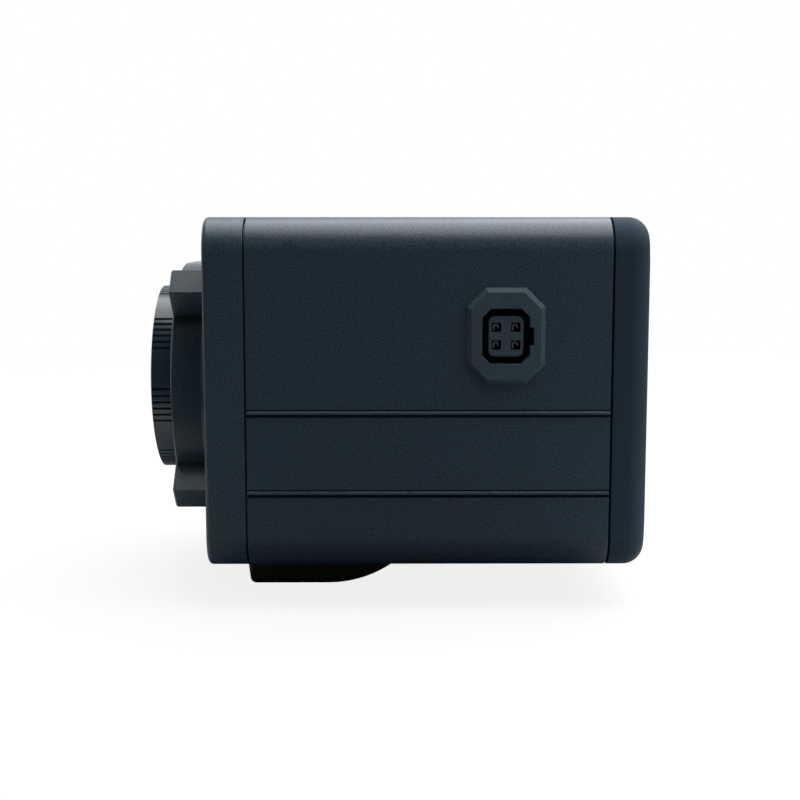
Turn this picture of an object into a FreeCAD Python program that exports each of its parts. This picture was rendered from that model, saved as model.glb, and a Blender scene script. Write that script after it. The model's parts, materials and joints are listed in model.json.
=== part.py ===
import FreeCAD, Part
import math
import os
import re

import Sketcher
from FreeCAD import Placement, Rotation, Vector

# Compact box camera body for a screw-in lens, in millimetres.
# The lens looks along -X, +Z is up, and the auto-iris socket is on the -Y side.
# The origin is at the mouth of the tripod thread, on the underside of the pad.

doc = FreeCAD.newDocument("box_camera")
sheet = doc.addObject("Spreadsheet::Sheet", "dims")

SIZES = {
    # Housing: extruded sleeve between a front plate and a rear cover
    "body_width": 60.0,
    "body_height": 54.0,
    "corner_radius": 5.2,
    "sleeve_wall": 2.2,
    "front_length": 6.45,
    "sleeve_length": 55.25,
    "rear_length": 6.05,
    "front_wall": 2.6,
    "rear_wall": 2.2,
    "front_round": 2.0,
    "rear_round": 3.1,
    "seam_gap": 0.3,
    "seam_inset": 0.9,
    "side_rim": 5.5,
    "pillar_radius": 3.8,
    "cavity_round": 3.0,
    "bead_width": 1.1,
    "bead_rise": 0.4,
    "bead_bite": 0.5,
    "upper_bead_drop": 2.62,
    "lower_bead_drop": 14.96,
    "port_bite": 0.2,
    "tongue_length": 2.0,
    "tongue_thickness": 1.4,
    "tongue_clearance": 0.15,
    "tongue_gap": 1.6,
    # Housing screws, M3, and small screws, M2.5
    "screw_radius": 1.5,
    "screw_reach": 10.0,
    "small_radius": 1.25,
    "tap_clearance": 0.05,
    "pass_clearance": 0.2,
    "sink_radius": 2.8,
    "sink_clearance": 0.1,
    "head_radius": 2.75,
    "head_height": 1.9,
    "head_clearance": 0.35,
    "head_sink": 2.2,
    "small_head_radius": 2.2,
    "small_head_height": 1.5,
    "hex_radius": 1.3,
    "hex_depth": 1.0,
    # Lens-mount boss: an oval hub with four corner ears and a flared foot
    "boss_length": 5.9,
    "boss_wall": 3.15,
    "boss_oval": 4.8,
    "boss_chamfer": 0.3,
    "boss_flare": 1.0,
    "boss_foot": 0.15,
    "ear_root_rise": 11.7,
    "ear_ridge_side": 24.2,
    "ear_ridge_rise": 15.5,
    "ear_tip_side": 19.4,
    "ear_tip_rise": 18.8,
    "ear_heel_side": 11.5,
    "ear_screw_side": 18.3,
    "ear_screw_rise": 14.6,
    "ear_screw_reach": 4.0,
    # Back-focus ring with grouped knurling, and the threaded barrel inside it
    "thread_radius": 12.7,
    "thread_length": 5.0,
    "thread_lead_in": 0.4,
    "barrel_wall": 1.25,
    "barrel_fit": 0.05,
    "barrel_recess": 0.26,
    "barrel_rear": 2.2,
    "baffle_step": 1.1,
    "flat_step": 0.95,
    "flat_lead": 0.6,
    "flat_clearance": 0.1,
    "ring_wall": 1.5,
    "ring_front": 10.5,
    "ring_bevel": 0.5,
    "ring_clearance": 0.1,
    "ring_gap": 0.15,
    "flange_rise": 0.85,
    "flange_length": 1.4,
    "knurl_groups": 8.0,
    "knurl_start": -42.9,
    "knurl_pitch": 4.0,
    "knurl_angle": 2.2,
    "knurl_depth": 0.4,
    "knurl_overlap": 0.5,
    # Image sensor, its board and the day and night filter changer
    "flange_focus": 17.526,
    "sensor_width": 11.4,
    "sensor_height": 9.6,
    "sensor_depth": 1.3,
    "window_depth": 0.5,
    "window_margin": 0.5,
    "board_depth": 1.6,
    "board_round": 1.5,
    "post_radius": 2.2,
    "post_inset_side": 12.3,
    "post_inset_rise": 5.8,
    "sensor_board_side": 5.5,
    "sensor_board_rise": 3.0,
    "filter_gap": 0.1,
    "filter_plate": 0.9,
    "filter_lip": 0.8,
    "filter_rail": 2.35,
    "filter_lip_reach": 0.75,
    "filter_end": 1.7,
    "filter_leg": 1.2,
    "filter_leg_inset": 2.0,
    "slider_depth": 1.3,
    "slider_height": 11.0,
    "slider_clearance": 0.15,
    "slider_border": 1.2,
    "pane_size": 8.0,
    "pane_depth": 0.7,
    "pane_ledge": 0.4,
    "pane_clearance": 0.05,
    "pane_pitch": 9.6,
    "stop_gap": 0.25,
    "coil_width": 14.0,
    "coil_height": 4.6,
    # Board stack
    "spacer_radius": 2.6,
    "front_spacer": 10.0,
    "stud_length": 4.6,
    "spacer_hole": 5.2,
    "board_side_gap": 9.0,
    "board_rise_gap": 1.8,
    "processor_size": 15.0,
    "processor_depth": 1.4,
    "memory_width": 9.0,
    "memory_height": 11.0,
    "memory_depth": 1.1,
    "memory_spread": 13.2,
    "link_width": 16.0,
    "link_height": 4.0,
    "link_gap": 0.6,
    "ribbon_width": 12.0,
    "ribbon_depth": 0.3,
    "ribbon_drop": 10.0,
    "ribbon_socket_width": 15.0,
    "ribbon_socket_height": 3.2,
    "ribbon_socket_depth": 1.8,
    # Rear connectors
    "jack_recess": 0.4,
    "jack_length": 18.0,
    "jack_width": 16.0,
    "jack_height": 13.6,
    "jack_clearance": 0.2,
    "jack_edge": 2.0,
    "jack_drop": 6.2,
    "plug_width": 11.8,
    "plug_height": 6.8,
    "plug_depth": 13.5,
    "plug_rise": 1.2,
    "key_width": 6.2,
    "key_height": 1.6,
    "latch_width": 3.6,
    "latch_height": 1.2,
    "contact_pitch": 1.02,
    "contact_width": 0.45,
    "contact_depth": 0.4,
    "contact_root": 1.2,
    "contact_reach": 7.0,
    "contact_drop": 1.8,
    "contact_setback": 3.5,
    "power_radius": 4.6,
    "power_nose": 3.9,
    "power_bore": 3.1,
    "power_depth": 9.5,
    "power_pin": 1.0,
    "power_pin_length": 8.0,
    "power_drop": 7.5,
    "audio_radius": 3.5,
    "audio_nose": 2.8,
    "audio_bore": 1.8,
    "audio_depth": 14.0,
    "audio_rise": 9.5,
    "audio_side": 11.0,
    "audio_pitch": 9.5,
    "shoulder_gap": 0.1,
    "button_radius": 1.3,
    "button_recess": 0.5,
    "button_collar": 2.0,
    "button_collar_length": 1.0,
    "button_clearance": 0.15,
    "button_travel": 0.4,
    "button_side": 8.5,
    "switch_size": 6.0,
    "switch_depth": 3.5,
    "light_radius": 1.1,
    "light_side": 15.0,
    "light_spread": 2.0,
    "light_clearance": 0.1,
    "led_width": 1.6,
    "led_height": 1.0,
    "led_depth": 0.8,
    # Auto-iris socket on the side
    "iris_setback": 45.7,
    "iris_rise": 9.2,
    "bezel_width": 11.86,
    "bezel_height": 14.62,
    "bezel_corner": 2.9,
    "bezel_proud": 0.85,
    "bezel_bevel": 0.7,
    "opening_width": 7.2,
    "opening_height": 8.34,
    "opening_corner": 1.3,
    "opening_depth": 6.4,
    "keyway_width": 2.7,
    "keyway_depth": 0.6,
    "neck_wall": 0.75,
    "neck_floor": 1.0,
    "neck_clearance": 0.1,
    "core_width": 5.24,
    "core_height": 6.08,
    "core_round": 0.9,
    "core_recess": 0.5,
    "pin_pitch_side": 2.9,
    "pin_pitch_rise": 2.66,
    "pin_hole": 1.4,
    "pin_hole_depth": 3.6,
    "pin_size": 1.0,
    "pin_length": 2.8,
    # Tripod pad and its thread insert
    "thread_setback": 13.0,
    "pad_height": 6.35,
    "pad_width": 27.0,
    "pad_front": 8.7,
    "pad_draft": 0.8,
    "pad_flat": 5.0,
    "pad_rear": 18.95,
    "pad_edge": 1.0,
    "pad_side_round": 0.8,
    "insert_radius": 4.5,
    "insert_fit": 0.02,
    "tripod_radius": 3.175,
    "pad_screw_side": 8.0,
}

for row, (size_name, size_value) in enumerate(SIZES.items(), start=1):
    sheet.set(f"A{row}", size_name)
    sheet.set(f"B{row}", str(size_value))
    sheet.setAlias(f"B{row}", size_name)
doc.recompute()

# Places that several pieces share, as formulas of the sizes.
# Distances called "behind" are measured from the front plate's front face.
FRONT = "-thread_setback"
AXIS = "pad_height + body_height / 2"
REAR_SEAM = "front_length + sleeve_length"
REAR_FACE = f"{REAR_SEAM} + rear_length"
HALF_WIDTH = "body_width / 2"
HALF_HEIGHT = "body_height / 2"
PORT_SIDE = "(body_width / 2 - corner_radius)"
PORT_RISE = "(body_height / 2 - corner_radius)"
PORT_RADIUS = "(corner_radius - sleeve_wall + port_bite)"
CAVITY_SIDE = "(body_width / 2 - side_rim)"
CAVITY_RISE = "(body_height / 2 - corner_radius - pillar_radius)"
BARREL_RADIUS = "(thread_radius + barrel_wall)"
RING_BORE = f"({BARREL_RADIUS} + barrel_fit)"
RING_RADIUS = f"({RING_BORE} + ring_wall)"
FLANGE_RADIUS = f"({RING_RADIUS} + flange_rise)"
BOSS_RADIUS = f"({FLANGE_RADIUS} + boss_wall)"
BARREL_FLAT = f"({BARREL_RADIUS} - flat_step)"
POST_SIDE = "(body_width / 2 - corner_radius - post_inset_side)"
POST_RISE = "(body_height / 2 - corner_radius - post_inset_rise)"
IMAGE_PLANE = "(flange_focus - ring_front + barrel_recess)"
SENSOR_BOARD = f"({IMAGE_PLANE} + sensor_depth)"
FILTER_REAR = f"({IMAGE_PLANE} - window_depth - filter_gap)"
SLIDER_REAR = f"({FILTER_REAR} - filter_plate - slider_clearance)"
CHANNEL_FRONT = f"({SLIDER_REAR} - slider_depth - slider_clearance)"
FILTER_FRONT = f"({CHANNEL_FRONT} - filter_lip)"
CHANNEL_RISE = "(slider_height / 2 + slider_clearance)"
FILTER_RISE = f"({CHANNEL_RISE} + filter_rail)"
SLIDER_HALF = "(pane_pitch / 2 + pane_size / 2 + slider_border)"
CHANNEL_HALF = f"({SLIDER_HALF} + pane_pitch / 2 + stop_gap)"
FILTER_HALF = f"({CHANNEL_HALF} + filter_end)"
MAIN_BOARD = f"({SENSOR_BOARD} + board_depth + front_spacer)"
JACK_FACE = f"({REAR_FACE} - jack_recess)"
JACK_ROOT = f"({JACK_FACE} - jack_length)"
IO_BOARD = f"({JACK_ROOT} - board_depth)"
REAR_INSIDE = f"({REAR_FACE} - rear_wall)"
BOARD_SIDE = "(body_width / 2 - board_side_gap)"
BOARD_RISE = "(body_height / 2 - corner_radius - board_rise_gap)"
JACK_SIDE = f"(jack_edge + jack_width / 2 - {BOARD_SIDE})"
POWER_SIDE = f"({BOARD_SIDE} - jack_edge - power_radius)"
AUDIO_IN_SIDE = "(-audio_side)"
AUDIO_OUT_SIDE = "(audio_pitch - audio_side)"
NECK_SIDE = "(opening_width / 2 + keyway_depth + neck_wall)"
NECK_RISE = "(opening_height / 2 + neck_wall)"
IRIS_SPOT = (f"{FRONT} + iris_setback", f"-{HALF_WIDTH}", f"{AXIS} + iris_rise")
CORNERS = [(side, rise) for side in (-1, 1) for rise in (-1, 1)]
KNURLS_IN_GROUP = 6
CONTACTS = 8
TOUCH = 0.01

FORMULA_NAME = re.compile(r"\b(?!sqrt\b|sin\b|cos\b)[a-z][a-z_]*")
nodes = []


# Formulas and placing

def linked(formula):
    """Return the formula with every size name pointing at the sheet."""
    return FORMULA_NAME.sub(lambda found: f"dims.{found.group()}", formula)


def number(formula):
    """Return what the formula is worth with the present sizes."""
    return float(sheet.evalExpression(linked(formula)))


def place(thing, spot):
    """Tie the three coordinates of a thing's place to formulas."""
    for axis, formula in zip("xyz", spot):
        thing.setExpression(f"Placement.Base.{axis}", linked(formula))


def behind(depth, side="0", rise="0"):
    """Return a spot given by its depth behind the front face and its offset from the optical axis."""
    return (f"{FRONT} + {depth}", side, f"{AXIS} + {rise}")


def node(thing, label):
    """Give a finished sub-part its own name and put it on the list that is written out."""
    thing.Label = label
    nodes.append(thing)
    return thing


# Sketches

def new_body(name, spot=None):
    """Start a body, by default with its origin on the optical axis at the front face."""
    body = doc.addObject("PartDesign::Body", name)
    place(body, spot or behind("0"))
    return body


def new_sketch(body, plane, offset="0"):
    """Start a sketch on one of the body's own origin planes, moved along its normal."""
    sketch = body.newObject("Sketcher::SketchObject", f"{body.Name}_sketch")
    support = next(item for item in body.Origin.OriginFeatures if item.Role == plane)
    sketch.AttachmentSupport = [(support, "")]
    sketch.MapMode = "FlatFace"
    sketch.setExpression("AttachmentOffset.Base.z", linked(offset))
    return sketch


def dimension(sketch, constraint, formula):
    """Add a dimension to a sketch and tie it to a formula."""
    index = sketch.addConstraint(constraint)
    sketch.setExpression(f"Constraints[{index}]", linked(formula))


def pin(sketch, geometry, end, x, y):
    """Fix a point of a sketch at two formulas, or on an axis where a formula is zero."""
    for kind, axis, formula in (("DistanceX", -2, x), ("DistanceY", -1, y)):
        if formula == "0":
            sketch.addConstraint(Sketcher.Constraint("PointOnObject", geometry, end, axis))
        else:
            measured = Sketcher.Constraint(kind, -1, 1, geometry, end, number(formula))
            dimension(sketch, measured, formula)


def add_arc(sketch, start, finish, radius, turn):
    """Add an arc of less than half a circle; turn is 1 anticlockwise and -1 clockwise."""
    size = number(radius)
    chord = finish - start
    across = Vector(-chord.y, chord.x, 0).normalize()
    centre = (start + finish) / 2 + across * turn * math.sqrt(size ** 2 - chord.Length ** 2 / 4)
    first, last = (start, finish) if turn > 0 else (finish, start)
    angles = [math.atan2(point.y - centre.y, point.x - centre.x) for point in (first, last)]
    circle = Part.Circle(centre, Vector(0, 0, 1), size)
    index = sketch.addGeometry(Part.ArcOfCircle(circle, angles[0], angles[1]))
    dimension(sketch, Sketcher.Constraint("Radius", index, size), radius)
    return (index, 1, 2) if turn > 0 else (index, 2, 1)


def outline(sketch, corners):
    """Draw a closed outline. A corner (x, y, radius, turn) starts an arc, a corner (x, y) a line."""
    points = [Vector(number(corner[0]), number(corner[1]), 0) for corner in corners]
    runs = []
    for index, corner in enumerate(corners):
        start = points[index]
        finish = points[(index + 1) % len(points)]
        if len(corner) == 4:
            runs.append(add_arc(sketch, start, finish, corner[2], corner[3]))
        else:
            runs.append((sketch.addGeometry(Part.LineSegment(start, finish)), 1, 2))
    for index, (geometry, start, _) in enumerate(runs):
        before, _, finish = runs[index - 1]
        sketch.addConstraint(Sketcher.Constraint("Coincident", before, finish, geometry, start))
        pin(sketch, geometry, start, corners[index][0], corners[index][1])


def rectangle(sketch, left, right, low, high):
    """Draw an upright rectangle."""
    outline(sketch, [(left, low), (right, low), (right, high), (left, high)])


def rounded(sketch, half_width, half_height, radius):
    """Draw a rectangle with round corners about the sketch's origin."""
    corners = []
    for side, rise, swap in ((1, -1, False), (1, 1, True), (-1, 1, False), (-1, -1, True)):
        beside = (f"{side} * ({half_width})", f"{rise} * ({half_height} - {radius})")
        along = (f"{side} * ({half_width} - {radius})", f"{rise} * ({half_height})")
        first, second = (beside, along) if swap else (along, beside)
        corners.append(first + (radius, 1))
        corners.append(second)
    outline(sketch, corners)


def circle(sketch, x, y, radius):
    """Draw a circle."""
    middle = Vector(number(x), number(y), 0)
    index = sketch.addGeometry(Part.Circle(middle, Vector(0, 0, 1), number(radius)))
    pin(sketch, index, 3, x, y)
    dimension(sketch, Sketcher.Constraint("Radius", index, number(radius)), radius)


def circles_at_corners(sketch, side, rise, radius):
    """Draw four circles, one in each quarter."""
    for sign_side, sign_rise in CORNERS:
        circle(sketch, f"{sign_side} * {side}", f"{sign_rise} * {rise}", radius)


# Features

def pad(body, sketch, length, reverse=False):
    """Raise a sketch along its plane's normal."""
    feature = body.newObject("PartDesign::Pad", f"{body.Name}_pad")
    feature.Profile = sketch
    feature.setExpression("Length", linked(length))
    feature.Reversed = reverse
    return feature


def pocket(body, sketch, length=None, reverse=False):
    """Cut a sketch against its plane's normal, right through where no length is given."""
    feature = body.newObject("PartDesign::Pocket", f"{body.Name}_pocket")
    feature.Profile = sketch
    feature.Reversed = reverse
    if length is None:
        feature.Type = "ThroughAll"
    else:
        feature.setExpression("Length", linked(length))
    return feature


def revolve(body, sketch):
    """Turn a sketch about its own horizontal axis."""
    feature = body.newObject("PartDesign::Revolution", f"{body.Name}_revolution")
    feature.Profile = sketch
    feature.ReferenceAxis = (sketch, ["H_Axis"])
    feature.Angle = 360
    return feature


def edges_of(feature, wanted):
    """Return the names of a feature's edges whose box passes a test."""
    doc.recompute()
    found = enumerate(feature.Shape.Edges, start=1)
    return [f"Edge{index}" for index, edge in found if wanted(edge.BoundBox)]


def dress(body, kind, feature, edges, size):
    """Round or chamfer edges of a feature."""
    finish = body.newObject(f"PartDesign::{kind}", f"{body.Name}_{kind.lower()}")
    finish.Base = (feature, edges)
    finish.setExpression("Radius" if kind == "Fillet" else "Size", linked(size))
    return finish


def screw_holes(body, sketch, radius, cut, cut_radius, cut_depth=None, reverse=False):
    """Drill the sketch's circles right through, countersunk or counterbored."""
    doc.recompute()
    hole = body.newObject("PartDesign::Hole", f"{body.Name}_hole")
    hole.Profile = sketch
    hole.Reversed = reverse
    hole.DepthType = "ThroughAll"
    hole.HoleCutType = cut
    hole.HoleCutCustomValues = True
    hole.setExpression("Diameter", linked(f"2 * ({radius})"))
    hole.setExpression("HoleCutDiameter", linked(f"2 * ({cut_radius})"))
    if cut_depth:
        hole.setExpression("HoleCutDepth", linked(cut_depth))
    else:
        hole.HoleCutCountersinkAngle = 90
    return hole


# Plain solids and groups

TURNS = {
    "x": Rotation(Vector(0, 1, 0), 90),
    "y": Rotation(Vector(1, 0, 0), -90),
    "z": Rotation(),
}


def block(name, spot, size):
    """Make a box from its lowest corner and its three sizes."""
    box = doc.addObject("Part::Box", name)
    for side, formula in zip(("Length", "Width", "Height"), size):
        box.setExpression(side, linked(formula))
    place(box, spot)
    return box


def chip(name, depth, side, rise, size):
    """Make a box from the depth of its front face, its middle and its size (depth, width, height)."""
    corner = behind(depth, f"{side} - ({size[1]}) / 2", f"{rise} - ({size[2]}) / 2")
    return block(name, corner, size)


def turned(kind, name, spot, axis, sizes):
    """Make a round or six-sided primitive along an axis."""
    solid = doc.addObject(f"Part::{kind}", name)
    for size, formula in sizes.items():
        solid.setExpression(size, linked(formula))
    solid.Placement = Placement(Vector(), TURNS[axis])
    place(solid, spot)
    return solid


def rod(name, spot, radius, length, axis="x"):
    return turned("Cylinder", name, spot, axis, {"Radius": radius, "Height": length})


def cone(name, spot, first, last, length, axis="x"):
    return turned("Cone", name, spot, axis, {"Radius1": first, "Radius2": last, "Height": length})


def hexagon(name, spot, radius, length, axis="x"):
    prism = turned("Prism", name, spot, axis, {"Circumradius": radius, "Height": length})
    prism.Polygon = 6
    return prism


def fused(name, solids):
    whole = doc.addObject("Part::MultiFuse", name)
    whole.Shapes = solids
    return whole


def cut(name, base, tools):
    whole = doc.addObject("Part::Cut", name)
    whole.Base = base
    whole.Tool = tools[0] if len(tools) == 1 else fused(f"{name}_tools", tools)
    return whole


def group(label, solids):
    whole = doc.addObject("Part::Compound", label)
    whole.Links = solids
    return node(whole, label)


# Housing

def tongues(body, seam, reverse):
    """Add the four tongues that centre an end piece inside the sleeve."""
    sketch = new_sketch(body, "YZ_Plane", seam)
    reach_side = f"({PORT_SIDE} - {PORT_RADIUS} - tongue_gap)"
    reach_rise = f"({PORT_RISE} - {PORT_RADIUS} - tongue_gap)"
    outer_side = f"({HALF_WIDTH} - sleeve_wall - tongue_clearance)"
    outer_rise = f"({HALF_HEIGHT} - sleeve_wall - tongue_clearance)"
    rectangle(sketch, f"-{reach_side}", reach_side, f"{outer_rise} - tongue_thickness", outer_rise)
    rectangle(sketch, f"-{reach_side}", reach_side, f"-{outer_rise}", f"tongue_thickness - {outer_rise}")
    rectangle(sketch, f"{outer_side} - tongue_thickness", outer_side, f"-{reach_rise}", reach_rise)
    rectangle(sketch, f"-{outer_side}", f"tongue_thickness - {outer_side}", f"-{reach_rise}", reach_rise)
    pad(body, sketch, "tongue_length", reverse)


def seat_rim(body, start):
    """Add the inset rim that meets the sleeve's end and leaves a fine shadow line outside it."""
    sketch = new_sketch(body, "YZ_Plane", start)
    rounded(sketch, f"({HALF_WIDTH} - seam_inset)", f"({HALF_HEIGHT} - seam_inset)",
            "(corner_radius - seam_inset)")
    pad(body, sketch, "seam_gap")


def hollow(body, plane, depth, reverse):
    """Cut the cavity behind an end piece's wall."""
    sketch = new_sketch(body, "YZ_Plane", plane)
    rounded(sketch, CAVITY_SIDE, CAVITY_RISE, "cavity_round")
    pocket(body, sketch, depth, reverse)


def body_sleeve():
    """Extruded sleeve with four screw ports inside and two raised beads along each side."""
    body = new_body("body_sleeve")
    section = new_sketch(body, "YZ_Plane", "front_length")
    rounded(section, HALF_WIDTH, HALF_HEIGHT, "corner_radius")
    rounded(section, f"({HALF_WIDTH} - sleeve_wall)", f"({HALF_HEIGHT} - sleeve_wall)",
            "(corner_radius - sleeve_wall)")
    pad(body, section, "sleeve_length")
    ports = new_sketch(body, "YZ_Plane", "front_length")
    circles_at_corners(ports, PORT_SIDE, PORT_RISE, PORT_RADIUS)
    pad(body, ports, "sleeve_length")
    beads = new_sketch(body, "YZ_Plane", "front_length")
    bead_radius = "((bead_width ^ 2 / 4 + bead_rise ^ 2) / (2 * bead_rise))"
    for side in (-1, 1):
        face = f"{side} * {HALF_WIDTH}"
        root = f"{side} * ({HALF_WIDTH} - bead_bite)"
        for drop in ("upper_bead_drop", "lower_bead_drop"):
            low = f"-{drop} - bead_width / 2"
            high = f"-{drop} + bead_width / 2"
            outline(beads, [(root, low), (face, low, bead_radius, side), (face, high), (root, high)])
    pad(body, beads, "sleeve_length")
    holes = new_sketch(body, "YZ_Plane", "front_length")
    circles_at_corners(holes, PORT_SIDE, PORT_RISE, "(screw_radius + tap_clearance)")
    pocket(body, holes, "sleeve_length", True)
    window = new_sketch(body, "XZ_Plane", HALF_WIDTH)
    side = f"({NECK_SIDE} + neck_clearance)"
    rise = f"({NECK_RISE} + neck_clearance)"
    rectangle(window, f"iris_setback - {side}", f"iris_setback + {side}",
              f"iris_rise - {rise}", f"iris_rise + {rise}")
    pocket(body, window, "sleeve_wall * 2")
    underside = new_sketch(body, "XY_Plane", f"-{HALF_HEIGHT}")
    for sign in (-1, 1):
        circle(underside, "thread_setback", f"{sign} * pad_screw_side", "(screw_radius + tap_clearance)")
    pocket(body, underside, "sleeve_wall * 2", True)
    node(body, "body_sleeve")


def front_plate():
    """Cast front plate with a rounded front edge, a keyed barrel hole and posts for the sensor board."""
    body = new_body("front_plate")
    blank = new_sketch(body, "YZ_Plane")
    rounded(blank, HALF_WIDTH, HALF_HEIGHT, "corner_radius")
    slab = pad(body, blank, "front_length - seam_gap")
    dress(body, "Fillet", slab, edges_of(slab, lambda box: box.XMax < TOUCH), "front_round")
    seat_rim(body, "front_length - seam_gap")
    hollow(body, "front_length", "front_length - front_wall", False)
    tongues(body, "front_length", False)
    posts = new_sketch(body, "YZ_Plane", "front_wall")
    circles_at_corners(posts, POST_SIDE, POST_RISE, "post_radius")
    pad(body, posts, f"{SENSOR_BOARD} - front_wall")
    taps = new_sketch(body, "YZ_Plane", SENSOR_BOARD)
    circles_at_corners(taps, POST_SIDE, POST_RISE, "(small_radius + tap_clearance)")
    pocket(body, taps, "stud_length")
    key = new_sketch(body, "YZ_Plane")
    key_radius = f"({BARREL_RADIUS} + flat_clearance)"
    key_flat = f"({BARREL_FLAT} + flat_clearance)"
    key_rise = f"sqrt({key_radius} ^ 2 - {key_flat} ^ 2)"
    outline(key, [
        (key_flat, f"-{key_rise}"),
        (key_flat, key_rise, key_radius, 1),
        (f"-{key_flat}", key_rise),
        (f"-{key_flat}", f"-{key_rise}", key_radius, 1),
    ])
    pocket(body, key, "front_length", True)
    ears = new_sketch(body, "YZ_Plane")
    circles_at_corners(ears, "ear_screw_side", "ear_screw_rise", "(small_radius + pass_clearance)")
    pocket(body, ears, "front_length", True)
    recesses = new_sketch(body, "YZ_Plane", "front_wall")
    circles_at_corners(recesses, "ear_screw_side", "ear_screw_rise", "(small_head_radius + pass_clearance)")
    pocket(body, recesses, "front_length", True)
    corners = new_sketch(body, "YZ_Plane")
    circles_at_corners(corners, PORT_SIDE, PORT_RISE, "(screw_radius + pass_clearance)")
    screw_holes(body, corners, "screw_radius + pass_clearance", "Countersink",
                "sink_radius + sink_clearance", reverse=True)
    node(body, "front_plate")


def rear_cover():
    """Moulded rear cover with a generous rear edge, connector openings and counterbored corners."""
    body = new_body("rear_cover")
    blank = new_sketch(body, "YZ_Plane", f"{REAR_SEAM} + seam_gap")
    rounded(blank, HALF_WIDTH, HALF_HEIGHT, "corner_radius")
    slab = pad(body, blank, "rear_length - seam_gap")
    end = number(REAR_FACE)
    dress(body, "Fillet", slab, edges_of(slab, lambda box: box.XMin > end - TOUCH), "rear_round")
    seat_rim(body, REAR_SEAM)
    hollow(body, REAR_SEAM, "rear_length - rear_wall", True)
    tongues(body, REAR_SEAM, True)
    openings = new_sketch(body, "YZ_Plane", REAR_FACE)
    half_side = "(jack_width / 2 + jack_clearance)"
    half_rise = "(jack_height / 2 + jack_clearance)"
    rectangle(openings, f"{JACK_SIDE} - {half_side}", f"{JACK_SIDE} + {half_side}",
              f"-jack_drop - {half_rise}", f"-jack_drop + {half_rise}")
    circle(openings, POWER_SIDE, "-power_drop", "(power_nose + jack_clearance)")
    for side in (AUDIO_IN_SIDE, AUDIO_OUT_SIDE):
        circle(openings, side, "audio_rise", "(audio_nose + jack_clearance)")
    circle(openings, "button_side", "audio_rise", "(button_radius + button_clearance)")
    for sign in (-1, 1):
        rise = f"audio_rise + {sign} * light_spread"
        circle(openings, "light_side", rise, "(light_radius + light_clearance)")
    pocket(body, openings, "rear_length")
    corners = new_sketch(body, "YZ_Plane", REAR_FACE)
    circles_at_corners(corners, PORT_SIDE, PORT_RISE, "(screw_radius + pass_clearance)")
    screw_holes(body, corners, "screw_radius + pass_clearance", "Counterbore",
                "head_radius + head_clearance", "head_sink")
    node(body, "rear_cover")


def front_screws():
    """Four countersunk screws through the front plate into the sleeve's ports."""
    screws = []
    for index, (side, rise) in enumerate(CORNERS):
        across = (f"{side} * {PORT_SIDE}", f"{rise} * {PORT_RISE}")
        head = cone(f"front_screw_head_{index}", behind("0", *across),
                    "sink_radius", "screw_radius", "sink_radius - screw_radius")
        shank = rod(f"front_screw_shank_{index}", behind("0", *across),
                    "screw_radius", "front_length + screw_reach")
        socket = hexagon(f"front_screw_socket_{index}", behind("0", *across), "hex_radius", "hex_depth")
        whole = fused(f"front_screw_blank_{index}", [head, shank])
        screws.append(cut(f"front_screw_{index}", whole, [socket]))
    group("front_screws", screws)


def rear_screws():
    """Four round-headed screws sunk in the rear cover's corners."""
    screws = []
    seat = f"{REAR_FACE} - head_sink"
    for index, (side, rise) in enumerate(CORNERS):
        across = (f"{side} * {PORT_SIDE}", f"{rise} * {PORT_RISE}")
        head = rod(f"rear_screw_head_{index}", behind(seat, *across), "head_radius", "head_height")
        shank = rod(f"rear_screw_shank_{index}", behind(f"{REAR_SEAM} - screw_reach", *across),
                    "screw_radius", "screw_reach + rear_length - head_sink")
        socket = hexagon(f"rear_screw_socket_{index}",
                         behind(f"{seat} + head_height - hex_depth", *across), "hex_radius", "hex_depth")
        whole = fused(f"rear_screw_blank_{index}", [head, shank])
        screws.append(cut(f"rear_screw_{index}", whole, [socket]))
    group("rear_screws", screws)


# Lens mount

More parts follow.
